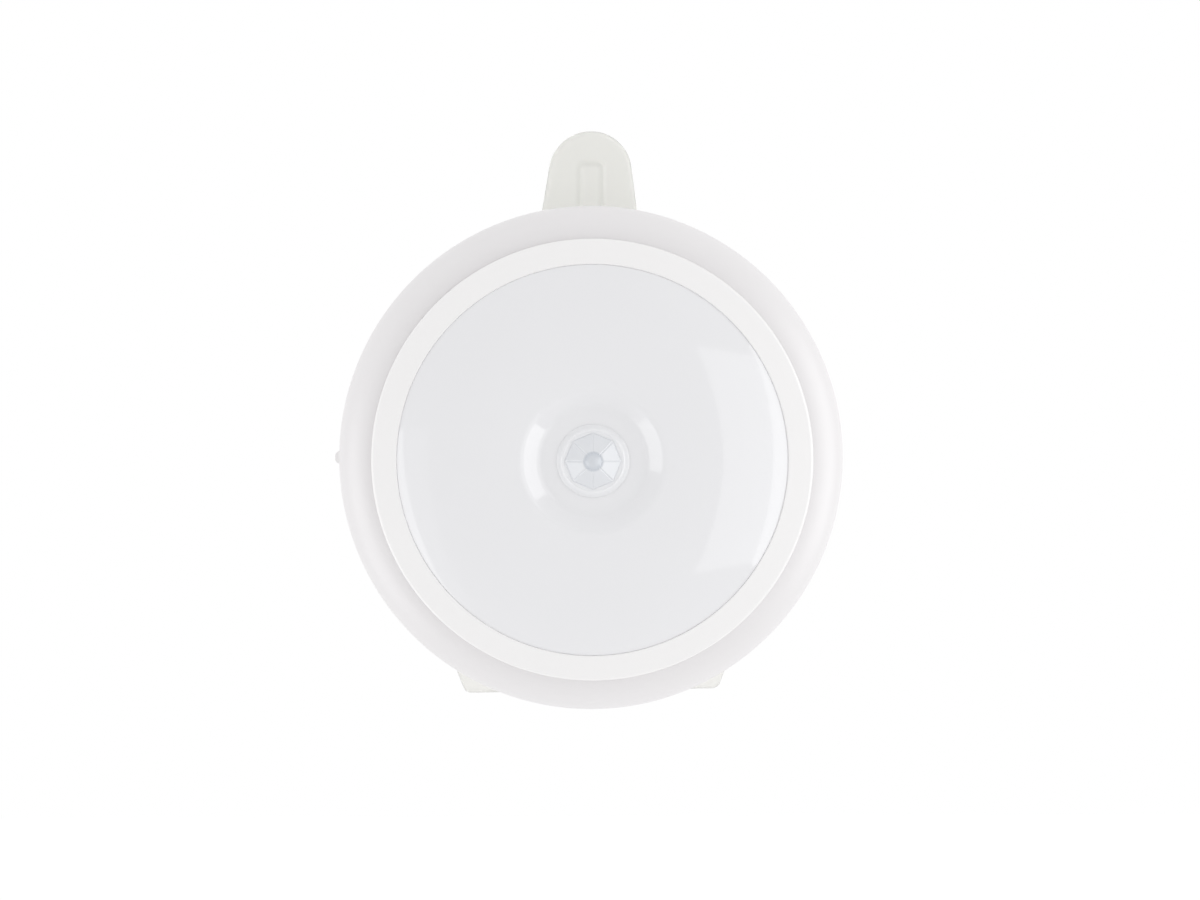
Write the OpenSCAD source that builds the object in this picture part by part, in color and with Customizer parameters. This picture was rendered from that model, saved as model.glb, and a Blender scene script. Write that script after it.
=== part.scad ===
// Round battery light for the inside of a cabinet: an opal diffuser in a bezel ring, a
// motion sensor behind the faceted lens in its middle, and a soft suction cup on its back.
// Each piece is drawn as it lies on a bench, face up: z runs from the wall to the front
// and y towards the pull tab. on_wall() then stands the light up against the wall.

/* [Suction cup] */
// Diameter of the suction disc
cup_d = 66; // [60:1:70]
// Depth of the hollow under the disc, at its middle
cup_dish = 3; // [2:0.5:3.5]
// Height of the cup, from the wall to the back of the lamp
cup_h = 6; // [5.5:0.5:8]
// Thickness of the disc at its lip
lip_t = 1.2; // [1:0.1:1.6]
// Width of the flat lip that seals on the wall
lip_w = 3; // [2:0.5:4]
// Diameter of the hub that the back of the lamp sits on
hub_d = 20; // [16:1:24]
// Diameter of the neck that passes through the back cover
neck_d = 8; // [6:0.5:9]
// Diameter of the button that holds the cup in the back cover
button_d = 12; // [10.5:0.5:14]
// Thickness of the button
button_t = 1.5; // [1.2:0.1:2]
// How far the pull tab reaches past the housing
tab_out = 12.1; // [9:0.1:16]
// Width of the pull tab at the edge of the housing
tab_root_w = 15.3; // [14:0.1:18]
// Width over the sides of the pull tab, where they would meet its end
tab_end_w = 11.8; // [10:0.1:13]
// Thickness of the pull tab
tab_t = 1.6; // [1.2:0.1:2]
// Height of the pull tab over the wall
tab_lift = 0.5; // [0.3:0.1:0.8]
// Width of the raised arch on the pull tab
arch_w = 3.9; // [3:0.1:5]
// Distance from the end of the tab to the end of the arch
arch_in = 5.1; // [3.5:0.1:6]
// Height of the raised arch over the tab
arch_h = 0.6; // [0.4:0.1:1]
// Width of the straight lower edge of the disc, over its two corners
flap_w = 41; // [36:0.5:44]
// Distance of that lower edge below the axis
flap_drop = 38.5; // [36:0.1:40]
// Rounding of the two lower corners
flap_r = 1; // [0.8:0.1:2.5]

/* [Housing and back cover] */
// Outside diameter of the housing
body_d = 80; // [74:0.5:90]
// Wall thickness of the housing
wall = 2; // [1.6:0.1:2.4]
// Radius of the rounded shoulder at the front
shoulder_r = 6; // [5:0.5:7]
// How much the side wall draws in towards the back
draft = 0.5; // [0.2:0.1:1]
// Width of the housing's edge around the back cover
edge_w = 2.6; // [2.2:0.1:3]
// Thickness of the back cover
cover_t = 2; // [1.6:0.1:2.5]
// Height of the rim inside the back cover
rim_h = 3; // [2.8:0.1:3.6]
// Thickness of that rim
rim_t = 1.6; // [1.2:0.1:2]
// Depth of the three ledges that hold the back cover
ledge_w = 2; // [1.8:0.1:2.4]
// Thickness of the ledges
ledge_t = 1.3; // [1:0.1:1.4]
// How far the locking lugs stand out of the rim
lug_out = 1.5; // [1.2:0.1:1.5]
// Width of a locking lug, in degrees
lug_deg = 18; // [14:1:20]

/* [Bezel and diffuser] */
// Width of the shoulder that shows around the bezel
band_w = 5.4; // [5.2:0.1:7]
// Width of the bezel's front face
bezel_w = 4; // [3.5:0.1:5]
// Height of the bezel's outer edge over the shoulder
bezel_step = 2.1; // [1.8:0.1:2.6]
// Rise of the bezel's face towards its inner edge
bezel_rise = 0.7; // [0.4:0.1:1.4]
// Wall of the bezel outside the diffuser's flange
bezel_wall = 1.2; // [1:0.1:1.4]
// Width of a snap hook under the bezel
hook_w = 6; // [4:0.5:8]
// Thickness of the diffuser
diffuser_t = 1.4; // [1.2:0.1:1.8]
// Thickness of the diffuser's flange
flange_t = 1; // [0.8:0.1:1.1]
// Height of the diffuser's skirt over the shelf it sits on
skirt_h = 2.4; // [2:0.1:3]
// Rounding of the diffuser's edge
edge_r = 0.3; // [0.2:0.1:0.8]
// Radius of the crest around the dimple
crest_r = 12; // [11:0.1:14]
// Radius of curvature of the dome outside the crest
dome_r = 44; // [36:1:70]
// Depth of the dimple around the lens
dimple_h = 1.6; // [1.2:0.1:2.4]
// Width of the slope of the dimple
dimple_w = 4.4; // [4:0.1:5]

/* [Motion sensor] */
// Diameter of the lens where it passes through the diffuser
lens_d = 11.1; // [10:0.1:12]
// Height of the lens over the floor of the dimple
lens_h = 2.4; // [1.8:0.1:3]
// Wall thickness of the lens
lens_t = 0.8; // [0.6:0.1:1]
// Width of the flange around the foot of the lens
lens_flange_w = 1.3; // [1:0.1:1.4]
// Thickness of that flange
lens_flange_t = 1; // [0.8:0.1:1.4]
// Count of flat facets around the eye of the lens
facets = 8; // [6:1:10]
// Diameter over the facets
facet_d = 8.6; // [7:0.1:9]
// Diameter of the round eye between the facets
eye_d = 3.1; // [2.4:0.1:3.6]
// Width of the rounded collar around the facets
collar_d = 1.2; // [0.9:0.1:1.3]
// Height of that collar over the floor of the dimple
collar_h = 1.2; // [1:0.1:1.4]
// Diameter of the sensor can
can_d = 8.2; // [7:0.1:8.6]
// Height of the sensor can
can_h = 3.4; // [2.8:0.1:3.5]
// Height of the holder that carries the lens
holder_h = 4.1; // [3.6:0.1:5]

/* [Board and light] */
// Thickness of the circuit board
board_t = 1.2; // [1:0.1:1.6]
// Gap between the board and the inside of the diffuser's skirt
board_gap = 0.5; // [0.3:0.1:1]
// Count of the light-emitting diodes
leds = 8; // [6:1:12]
// Distance of the ring of diodes from the edge of the board
led_in = 8.5; // [7.5:0.5:10]

/* [Batteries] */
// Diameter of a cell
cell_d = 10.5; // [10:0.1:10.6]
// Length of a cell
cell_l = 44.5; // [42:0.1:45]
// Space between two cells
cell_gap = 0.4; // [0.3:0.1:0.8]
// Length of a contact spring under load
spring_l = 3.7; // [3.4:0.1:4.2]
// Diameter of the spring wire
spring_wire = 0.6; // [0.5:0.05:0.6]
// Thickness of the contact plates
plate_t = 0.4; // [0.3:0.05:0.5]
// Thickness of the battery tray's floor
tray_t = 1.2; // [1:0.1:1.6]
// Thickness of the battery tray's walls
tray_wall = 1.2; // [1:0.1:1.6]

/* [Switch] */
// Travel of the switch from one position to the next
switch_step = 2; // [1.5:0.1:2.2]
// Width of the switch cap along its travel
cap_w = 2; // [1.8:0.1:3.4]
// Height of the switch cap across its travel
cap_h = 3.2; // [2.8:0.1:3.6]
// How far the cap stands proud of the housing
cap_proud = 0.55; // [0.3:0.05:1]
// Depth of the finger scoop around the cap
scoop_h = 1.1; // [0.6:0.1:1.2]

/* [Fits] */
// Clearance between moulded pieces
fit = 0.2; // [0.15:0.05:0.3]
// Seam that shows around the diffuser and around the lens
seam = 0.06; // [0.05:0.01:0.1]
// Clearance of pieces that are trapped or laid in
rest = 0.1; // [0.05:0.05:0.15]

/* [Hidden] */
$fn = 96;

// Radii, from the housing inwards
body_r = body_d / 2;
inner_r = body_r - draft - wall;
cover_r = body_r - draft - edge_w;
ledge_r = inner_r - ledge_w;
rim_r = ledge_r - fit;
bezel_r = body_r - band_w;
window_r = bezel_r - bezel_w;
diffuser_r = window_r - seam;
flange_r = bezel_r - bezel_wall - fit;
seat_w = 1.6;
opening_r = flange_r - seat_w;
board_r = diffuser_r - diffuser_t - board_gap;
led_ring_r = board_r - led_in;

// Heights, from the wall to the front
z_inside = cup_h + cover_t;
cell_clear = 0.4;
z_cell_low = z_inside + button_t + cell_clear;
z_cell = z_cell_low + cell_d / 2;
z_tray = z_cell + cell_d / 2 + rest;
standoff_h = 0.5;
z_board = z_tray + tray_t + standoff_h;
z_parts = z_board + board_t;
z_lens = z_parts + holder_h;
z_floor = z_lens + lens_flange_t + diffuser_t;
z_crest = z_floor + dimple_h;
edge_span = diffuser_r - edge_r - crest_r;
z_edge = z_crest - dome_r + sqrt(pow(dome_r - edge_r, 2) - pow(edge_span, 2));
z_shelf = z_edge - skirt_h;

// Fixing posts of the tray and screws of the board
post_d = 4.8;
ear_r = 3.2;
ear_t = 1.5;
ear_gap = 0.4;
post_l = 4.5;
post_ring_r = inner_r - ear_r - ear_gap;
z_ear = z_shelf - wall - post_l - ear_t;
arm_t = 1.8;
arm_r = post_ring_r - post_d / 2 - fit;
tray_r = arm_r - arm_t / 2;
post_angles = [90, 210, 330];
screw_d = 2;
screw_head_d = 3.8;
screw_head_h = 1.2;
pilot_d = screw_d + 0.1;
boss_d = 4.8;
screw_bite = wall / 4;
board_screw_in = 4;
board_screw_x = board_r - board_screw_in;
board_screw_y = 9;
board_screw_l = 6;

// Battery bay
cell_pitch = cell_d + cell_gap;
bay_l = cell_l + spring_l + 2 * plate_t + rest;
bay_w = 3 * cell_pitch;
bay_end = bay_l / 2;
tray_end = bay_end + tray_wall;
tray_depth = cell_d * 0.88;
plate_w = 9;
plate_h = 8;
nub_r = 1.9;
nub_l = 0.9;
tail_l = 1.5;
tail_w = 3;

// Switch: the cap's plate stays clear of the curved wall at both ends of the travel
cap_plate_l = 12;
cap_plate_t = 0.9;
cap_plate_h = cap_h + 2.2;
cap_run = cap_plate_l / 2 + switch_step;
cap_x = sqrt(pow(inner_r, 2) - pow(cap_run, 2)) - fit;
frame_l = 12.8;
frame_w = 5.5;
frame_h = 5;
frame_gap = 0.4;
frame_x = cap_x - cap_plate_t - frame_gap;
z_switch = z_inside + rim_h + 3 * fit + frame_w / 2;
bracket_t = 1.2;
cheek_t = 1.2;
pin_out = 2.6;
slider_w = 2;
slider_h = 1.6;
socket_h = 0.5;

// Leads: offsets chosen by hand from the solder points and the tray's corner that they pass
lead_d = 1.2;
plus_tail = [-cell_pitch, tray_end + tail_l, z_cell];
minus_tail = [cell_pitch, -tray_end - tail_l, z_cell];
switch_pin = [frame_h + pin_out - frame_x, 0, z_switch];
tray_corner = [-bay_w / 2 - tray_wall, tray_end, z_switch];
board_side = [0, 0, z_board - z_switch - rest];
lead_positive_route = [
    plus_tail + [0, 0.4, 1], plus_tail + [-0.5, 1, -0.5], plus_tail + [-2.9, 1.5, -2],
    tray_corner + [-0.6, 2, -1.5], tray_corner + [-4.4, -2.4, -1.5],
    switch_pin + [3.3, 16.8, -1.5], switch_pin + [2.1, 10.8, -1.5], switch_pin + [1.5, 6.6, -1],
    switch_pin + [1.3, 4.6, -0.2], switch_pin + [0.8, 4, 0]
];
lead_switched_route = [
    switch_pin + [0.8, 0, 0], switch_pin + [2.5, 0, 0.2], switch_pin + [3.9, 0, 1.2],
    switch_pin + [4.7, 0, 3], switch_pin + [4.9, 0, 5], switch_pin + [4.9, 0, 0] + board_side
];
lead_negative_route = [
    minus_tail + [0, -0.4, 0.6], minus_tail + [-0.2, -0.6, 2], minus_tail + [-1.9, -0.6, 3.2],
    minus_tail + [-4, 0, 4], minus_tail + [-4.5, 0.2, 5.2], minus_tail + [-4.5, 0.2, 6.9]
];
lead_hole_d = 2.4;
lead_holes = [switch_pin + [4.9, 0, 0], minus_tail + [-4.5, 0.2, 0]];

// Corner fillet of radius r between the lines a-b and b-c, as points
function unit(v) = v / norm(v);
function fillet(a, b, c, r, steps = 8) =
    let (
        u = unit(a - b),
        w = unit(c - b),
        half = acos(u * w) / 2,
        m = b + unit(u + w) * r / sin(half),
        first = b + u * r / tan(half) - m,
        turn = (u.x * w.y - u.y * w.x > 0 ? -1 : 1) * (180 - 2 * half),
        start = atan2(first.y, first.x)
    )
    [for (i = [0:steps]) m + r * [cos(start + turn * i / steps), sin(start + turn * i / steps)]];

// Outline with each corner given as [x, y, rounding]
function flat(p) = [p.x, p.y];
function rounded(pts) = [
    for (i = [0:len(pts) - 1])
        let (before = pts[(i + len(pts) - 1) % len(pts)], after = pts[(i + 1) % len(pts)])
        each pts[i].z == 0
            ? [flat(pts[i])]
            : fillet(flat(before), flat(pts[i]), flat(after), pts[i].z)
];
function arc(x, y, r, from, to, steps) =
    [for (i = [0:steps]) let (a = from + (to - from) * i / steps) [x + r * cos(a), y + r * sin(a)]];

// Round tube along points: rings that turn with the path, closed at both ends
function tangent(p, i) = unit(p[min(i + 1, len(p) - 1)] - p[max(i - 1, 0)]);
function turned(side, t) = unit(side - t * (side * t));
function sides_of(p, i, side) =
    i == len(p) ? [] : let (s = turned(side, tangent(p, i))) concat([s], sides_of(p, i + 1, s));
module tube(p, r, n, side) {
    frames = sides_of(p, 0, side);
    points = [
        for (i = [0:len(p) - 1], k = [0:n - 1])
            let (s = frames[i], q = cross(tangent(p, i), s), a = 360 * k / n)
            p[i] + r * (s * cos(a) + q * sin(a))
    ];
    walls = [
        for (i = [0:len(p) - 2], k = [0:n - 1])
            let (a = i * n + k, b = i * n + (k + 1) % n)
            each [[a, a + n, b], [b, a + n, b + n]]
    ];
    last = (len(p) - 1) * n;
    caps = [for (k = [1:n - 2]) each [[0, k, k + 1], [last, last + k + 1, last + k]]];
    polyhedron(points, concat(walls, caps));
}
// Smooth curve through the points of a route, with steps pieces between two of them
function smooth(p, steps) = concat(
    [for (i = [0:len(p) - 2], k = [0:steps - 1])
        let (
            a = p[max(i - 1, 0)], b = p[i], c = p[i + 1], d = p[min(i + 2, len(p) - 1)],
            t = k / steps
        )
        0.5 * (2 * b + (c - a) * t + (2 * a - 5 * b + 4 * c - d) * t * t
            + (3 * b - a - 3 * c + d) * t * t * t)],
    [p[len(p) - 1]]
);

// Stands the light up: the front faces -Y, the pull tab points to +Z
module on_wall() {
    rotate([90, 0, 0]) children();
}
module ring_sector(r_in, r_out, z_low, h, from, sweep) {
    rotate(from) rotate_extrude(angle = sweep) translate([r_in, z_low]) square([r_out - r_in, h]);
}
module around(angles, r) {
    for (a = angles) rotate(a) translate([r, 0, 0]) children();
}
module block(size, at) {
    translate(at - [size.x / 2, size.y / 2, 0]) cube(size);
}

// Soft suction cup: dished disc with a straight lower edge, hub, neck and button, pull tab
cup_r = cup_d / 2;
dish_r = cup_r - lip_w;
tab_end = body_r + tab_out;
// Point where a line from p runs along a circle of radius r, on the given side
function touch(p, r, side) =
    let (a = atan2(p.y, p.x) + side * acos(r / norm(p)))
    [r * cos(a), r * sin(a), 0];
module cup_outline() {
    corner = [flap_w / 2, -flap_drop];
    side = touch(corner, cup_r - 0.05, 1);
    circle(cup_r);
    polygon(rounded([
        [0, 0, 0], [-side.x, side.y, 0], [-corner.x, corner.y, flap_r],
        [corner.x, corner.y, flap_r], side
    ]));
}
module cup_crown() {
    crown_r = hub_d / 2 + 3;
    crown_z = cup_dish + (cup_h - cup_dish) * 0.55;
    foot_r = cup_r - 1.5;
    rotate_extrude() polygon(rounded([
        [0, lip_t / 2, 0], [foot_r, lip_t / 2, 0], [foot_r, lip_t + 0.1, 0], [crown_r, crown_z, 2.5],
        [hub_d / 2, cup_h, 0.5], [0, cup_h, 0]
    ]));
}
module cup_dish_space() {
    ball = (pow(dish_r, 2) + pow(cup_dish, 2)) / (2 * cup_dish);
    reach = asin(dish_r / ball);
    flat_deg = reach / 12;
    rotate_extrude() polygon(concat(
        [[0, -1], [dish_r, -1]],
        arc(0, cup_dish - ball, ball, 90 - reach, 90 - flat_deg, 14),
        [[0, cup_dish - ball + ball * cos(flat_deg)]]
    ));
}
module cup_button() {
    button_r = button_d / 2;
    z_low = z_inside + rest / 2;
    rotate_extrude() polygon(rounded([
        [0, cup_h - 1, 0], [neck_d / 2, cup_h - 1, 0], [neck_d / 2, z_low, 0], [button_r, z_low, 0.3],
        [button_r, z_low + button_t, 0.7], [0, z_low + button_t, 0]
    ]));
}
module pull_tab() {
    root_y = cup_r * 0.7;
    spread = (tab_root_w - tab_end_w) / 2 / tab_out;
    root_half = tab_root_w / 2 + spread * (body_r - root_y);
    end_half = tab_end_w / 2;
    end_round = 0.98 * end_half * tan(45 + atan(spread) / 2);
    translate([0, 0, tab_lift]) linear_extrude(tab_t) polygon(rounded([
        [-root_half, root_y, 0], [root_half, root_y, 0],
        [end_half, tab_end, end_round], [-end_half, tab_end, end_round]
    ]));
    arch_y = tab_end - arch_in - arch_w / 2;
    translate([0, 0, tab_lift + tab_t / 2]) linear_extrude(tab_t / 2 + arch_h) {
        translate([0, arch_y]) circle(arch_w / 2);
        translate([-arch_w / 2, root_y]) square([arch_w, arch_y - root_y]);
    }
}
module suction_cup() {
    color([0.93, 0.95, 0.9, 0.8]) on_wall() {
        difference() {
            union() {
                linear_extrude(lip_t) cup_outline();
                cup_crown();
                pull_tab();
            }
            cup_dish_space();
        }
        cup_button();
    }
}

// Back cover: plate with the cup's hole, turned under three ledges by its lugs
lug_z = z_inside + ledge_t + 2 * fit;
lug_t = rim_h - ledge_t - 2 * fit;
module back_cover() {
    hole_r = neck_d / 2 + rest / 2;
    press_r = button_d / 2 + 8;
    color("white") on_wall() {
        rotate_extrude() polygon(rounded([
            [hole_r, cup_h, 0], [cover_r, cup_h, 0.5], [cover_r, z_inside, 0], [rim_r, z_inside, 0],
            [rim_r, z_inside + rim_h, 0.3], [rim_r - rim_t, z_inside + rim_h, 0.3],
            [rim_r - rim_t, z_inside, 0.4], [hole_r, z_inside, 0]
        ]));
        for (a = post_angles)
            ring_sector(rim_r - rim_t / 2, rim_r + lug_out, lug_z, lug_t, a - lug_deg / 2, lug_deg);
        ring_sector(press_r, press_r + 1.2, z_inside - 0.5, 0.5 + button_t, 0, 360);
    }
}

// Housing: shell with a rounded shoulder, bayonet ledges, screw posts and switch window
module housing_shell() {
    rotate_extrude() polygon(rounded([
        [opening_r, z_shelf, 0.3], [body_r, z_shelf, shoulder_r], [body_r - draft, cup_h, 0.8],
        [cover_r + fit, cup_h, 0.3], [cover_r + fit, z_inside, 0], [inner_r, z_inside, 0],
        [body_r - wall, z_shelf - wall, shoulder_r - wall], [opening_r, z_shelf - wall, 0]
    ]));
}
module housing_ledges() {
    hold_deg = lug_deg + 5;
    stop_deg = 1.4;
    z_low = z_inside + fit;
    for (a = post_angles) {
        ring_sector(ledge_r, inner_r + wall / 2, z_low, ledge_t, a - hold_deg / 2, hold_deg);
        ring_sector(ledge_r + 0.2, inner_r + wall / 3, z_low + ledge_t / 2, rim_h - ledge_t / 2 - fit,
            a + lug_deg / 2 + 0.5, stop_deg);
    }
}
module switch_window() {
    scoop_r = 12;
    slot_l = cap_w + 2 * switch_step + 3 * fit;
    slot_h = cap_h + 3 * fit;
    translate([-body_r + scoop_h - scoop_r, 0, z_switch]) sphere(scoop_r);
    block([4 * wall, slot_l, slot_h], [-body_r, 0, z_switch - slot_h / 2]);
}
module housing() {
    slot_out = bezel_r - rest;
    slot_in = slot_out - hook_t - hook_lip;
    color("white") on_wall() difference() {
        union() {
            housing_shell();
            housing_ledges();
            around(post_angles, post_ring_r)
                translate([0, 0, z_ear + ear_t]) cylinder(d = post_d, h = post_l + wall / 2);
        }
        switch_window();
        around(post_angles, post_ring_r)
            translate([0, 0, z_ear]) cylinder(d = pilot_d, h = ear_t + post_l + 2 * screw_bite);
        around(hook_angles, 0)
            block([slot_out - slot_in, hook_w + 2 * fit, 3 * wall], [(slot_out + slot_in) / 2, 0, z_shelf - 2 * wall]);
    }
}

// Bezel ring: sloped front face, rebate over the diffuser's flange, four snap hooks
hook_angles = [45, 135, 225, 315];
hook_t = 0.9;
hook_lip = 0.35;
module bezel_hook() {
    root = bezel_r - bezel_wall + rest;
    tip_z = z_shelf - wall - fit;
    translate([0, hook_w / 2, 0]) rotate([90, 0, 0]) linear_extrude(hook_w) polygon([
        [root, z_shelf + 0.4], [root + hook_t, z_shelf + 0.4], [root + hook_t, tip_z],
        [root + hook_t + hook_lip, tip_z], [root + hook_t, tip_z - 1.4], [root, tip_z - 1.4]
    ]);
}
module bezel_ring() {
    z_rebate = z_shelf + flange_t + rest;
    z_outer = z_shelf + bezel_step;
    color("snow") on_wall() {
        rotate_extrude() polygon(rounded([
            [bezel_r, z_shelf, 0], [bezel_r, z_outer, 0.5], [window_r, z_outer + bezel_rise, 0.2],
            [window_r, z_rebate, 0], [flange_r + fit, z_rebate, 0], [flange_r + fit, z_shelf, 0]
        ]));
        around(hook_angles, 0) bezel_hook();
    }
}

// Opal diffuser: flange, skirt, shallow dome and the dimple around the lens
dimple_arc = (pow(dimple_w, 2) + pow(dimple_h, 2)) / (4 * dimple_h);
dimple_deg = 2 * atan(dimple_h / dimple_w);
edge_deg = asin(edge_span / (dome_r - edge_r));
aperture_r = lens_d / 2 + seam;
// Path of the diffuser's face, sunk by t: from the skirt over the dome to the aperture
function diffuser_face(t) = concat(
    t < edge_r ? arc(diffuser_r - edge_r, z_edge, edge_r - t, 0, 90 - edge_deg, 6) : [],
    arc(crest_r, z_crest - dome_r, dome_r - t, 90 - edge_deg, 90, 20),
    arc(crest_r, z_crest - dimple_arc, dimple_arc - t, 90, 90 + dimple_deg, 10),
    arc(crest_r - dimple_w, z_floor + dimple_arc, dimple_arc + t, dimple_deg - 90, -90, 10),
    [[aperture_r, z_floor - t]]
);
module diffuser() {
    inner = diffuser_face(diffuser_t);
    skirt_in = diffuser_r - diffuser_t;
    color([0.93, 0.93, 0.95]) on_wall() rotate_extrude() polygon(concat(
        [[skirt_in, z_shelf], [flange_r, z_shelf], [flange_r, z_shelf + flange_t], [diffuser_r, z_shelf + flange_t]],
        diffuser_face(0),
        [for (i = [len(inner) - 1:-1:0]) if (inner[i].x < skirt_in - 0.01) inner[i]],
        [[skirt_in, z_edge - diffuser_t]]
    ));
}

// Lens of the motion sensor: dome with flat facets around a round eye, on a flange
lens_ball = (pow(lens_d / 2, 2) + pow(lens_h, 2)) / (2 * lens_h);
z_lens_ball = z_floor + lens_h - lens_ball;
function ball_z(r) = z_lens_ball + sqrt(pow(lens_ball, 2) - pow(r, 2));
module lens_facets() {
    near = eye_d / 2 - 0.2;
    far = facet_d / 2;
    tilt = atan((ball_z(near) - ball_z(far)) / (far - near));
    for (i = [0:facets - 1]) rotate(360 * (i + 0.5) / facets)
        translate([near, 0, ball_z(near)]) rotate([0, tilt, 0])
            translate([-1, -far, 0]) cube([far + 2, 2 * far, 2]);
}
module fresnel_lens() {
    lens_r = lens_d / 2;
    eye_bulge = 0.25;
    z_eye = ball_z(eye_d / 2);
    eye_ball = (pow(eye_d / 2, 2) + pow(lens_h * eye_bulge, 2)) / (2 * lens_h * eye_bulge);
    color([0.94, 0.95, 0.96]) on_wall() difference() {
        union() {
            translate([0, 0, z_lens]) cylinder(r = lens_r + lens_flange_w, h = lens_flange_t);
            translate([0, 0, z_lens]) cylinder(r = lens_r, h = z_floor - z_lens);
            difference() {
                intersection() {
                    translate([0, 0, z_lens_ball]) sphere(lens_ball);
                    translate([0, 0, z_floor - 0.01]) cylinder(r = lens_r, h = lens_h + 1);
                }
                lens_facets();
            }
            intersection() {
                translate([0, 0, z_eye + lens_h * eye_bulge - eye_ball]) sphere(eye_ball);
                translate([0, 0, z_eye - 0.5]) cylinder(d = eye_d, h = 2);
            }
            rotate_extrude() translate([lens_r - collar_d / 2 - 0.02, z_floor + collar_h - collar_d / 2])
                circle(d = collar_d, $fn = 48);
        }
        intersection() {
            translate([0, 0, z_lens_ball]) sphere(lens_ball - lens_t);
            translate([0, 0, z_lens - 1]) cylinder(r = lens_r - lens_t, h = lens_h + 10);
        }
        translate([0, 0, z_lens - 1]) cylinder(r = lens_r - lens_t, h = z_floor - z_lens + 1);
    }
}

// Holder that stands on the board around the sensor can and carries the lens
module lens_holder() {
    out_r = lens_d / 2 + lens_flange_w;
    in_r = can_d / 2 + 0.7;
    color("gainsboro") on_wall() difference() {
        translate([0, 0, z_parts]) cylinder(r = out_r, h = holder_h);
        translate([0, 0, z_parts - 1]) cylinder(r = in_r, h = holder_h + 2);
    }
}

// Sensor can with a rolled foot, three pins and a window in its top
window_size = [4, 3, 0.4];
pin_d = 0.45;
pin_ring_r = 2.5;
pin_angles = [45, 135, 270];
module sensor_can() {
    color("silver") on_wall() {
        difference() {
            rotate_extrude() polygon(rounded([
                [0, z_parts, 0], [can_d / 2 + 0.5, z_parts, 0], [can_d / 2 + 0.5, z_parts + 0.5, 0.2],
                [can_d / 2, z_parts + 0.5, 0], [can_d / 2, z_parts + can_h, 0.5], [0, z_parts + can_h, 0]
            ]));
            block(window_size + [0, 0, 1], [0, 0, z_parts + can_h - window_size.z]);
        }
        around(pin_angles, pin_ring_r)
            translate([0, 0, z_board - 0.3]) cylinder(d = pin_d, h = board_t + 0.6, $fn = 24);
    }
}
module sensor_window() {
    color([0.2, 0.22, 0.3]) on_wall() block(window_size, [0, 0, z_parts + can_h - window_size.z]);
}

// Round circuit board with holes for its screws and the sensor's pins
module board_screw_places() {
    for (x = [-1, 1], y = [-1, 1]) translate([x * board_screw_x, y * board_screw_y, 0]) children();
}
module circuit_board() {
    color("honeydew") on_wall() difference() {
        translate([0, 0, z_board]) cylinder(r = board_r, h = board_t);
        board_screw_places() translate([0, 0, z_board - 1]) cylinder(d = screw_d + 0.4, h = board_t + 2);
        around(pin_angles, pin_ring_r)
            translate([0, 0, z_board - 1]) cylinder(d = pin_d + 0.2, h = board_t + 2, $fn = 24);
    }
}

// Diodes: white packages with a round cup each, filled with yellow phosphor
led_size = [2.8, 3.5, 0.7];
led_cup_d = 2.2;
led_cup_h = 0.4;
led_angles = [for (i = [0:leds - 1]) 360 * (i + 0.5) / leds];
module led_packages() {
    color("white") on_wall() around(led_angles, led_ring_r) difference() {
        block(led_size, [0, 0, z_parts]);
        translate([0, 0, z_parts + led_size.z - led_cup_h]) cylinder(d = led_cup_d, h = 1, $fn = 32);
    }
}
module led_phosphors() {
    color("gold") on_wall() around(led_angles, led_ring_r)
        translate([0, 0, z_parts + led_size.z - led_cup_h]) cylinder(d = led_cup_d, h = led_cup_h, $fn = 32);
}

// Daylight sensor, control chip, small chip parts and capacitor on the board
daylight_at = [0, 13];
control_chip_at = [10.5, -8.5];
chip_row_at = [7.5, -13.6];
chip_row_pitch = 2.4;
chip_column_at = [-12.5, 6];
chip_column_pitch = 1.8;
capacitor_at = [-10.5, -8.5];
module daylight_sensor() {
    color([0.9, 0.92, 0.95, 0.7]) on_wall() translate([daylight_at.x, daylight_at.y, z_parts]) {
        cylinder(d = 3.8, h = 0.8);
        cylinder(d = 3, h = 2);
        translate([0, 0, 2]) intersection() {
            sphere(d = 3);
            translate([0, 0, 1.5]) cube(3, center = true);
        }
    }
}
chip_size = [4.9, 3.9, 1.4];
module control_chip() {
    leg = [0.4, 1.2, 0.25];
    legs = 4;
    pitch = 1.27;
    color("dimgray") on_wall() translate([control_chip_at.x, control_chip_at.y, z_parts]) {
        block(chip_size, [0, 0, 0.1]);
        for (i = [0:legs - 1], y = [-1, 1])
            block(leg, [pitch * (i - (legs - 1) / 2), y * (chip_size.y / 2 + leg.y / 3), 0]);
    }
}
module chip_parts() {
    part = [1.6, 0.8, 0.5];
    color("tan") on_wall() {
        for (i = [0:3]) block(part, [chip_row_at.x + chip_row_pitch * i, chip_row_at.y, z_parts]);
        for (i = [0:2]) block(part, [chip_column_at.x, chip_column_at.y + chip_column_pitch * i, z_parts]);
    }
}
module capacitor() {
    color("lightsteelblue") on_wall() translate([capacitor_at.x, capacitor_at.y, z_parts]) {
        block([5.3, 5.3, 0.8], [0, 0, 0]);
        rotate_extrude() polygon(rounded([[0, 0.5, 0], [2.5, 0.5, 0], [2.5, 4.6, 0.4], [0, 4.6, 0]]));
    }
}

// Pan head screw with a cross recess, head up at z = 0
module screw(l) {
    difference() {
        union() {
            cylinder(d = screw_head_d, h = screw_head_h);
            translate([0, 0, -l]) cylinder(d = screw_d, h = l + 0.1);
        }
        for (a = [0, 90]) rotate(a) block([2.2, 0.5, 1], [0, 0, screw_head_h - 0.6]);
    }
}
module board_screws() {
    color("silver") on_wall() board_screw_places() translate([0, 0, z_parts]) screw(board_screw_l);
}
module tray_screws() {
    color("silver") on_wall() around(post_angles, post_ring_r)
        translate([0, 0, z_ear]) mirror([0, 0, 1]) screw(ear_t + post_l + screw_bite);
}

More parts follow.
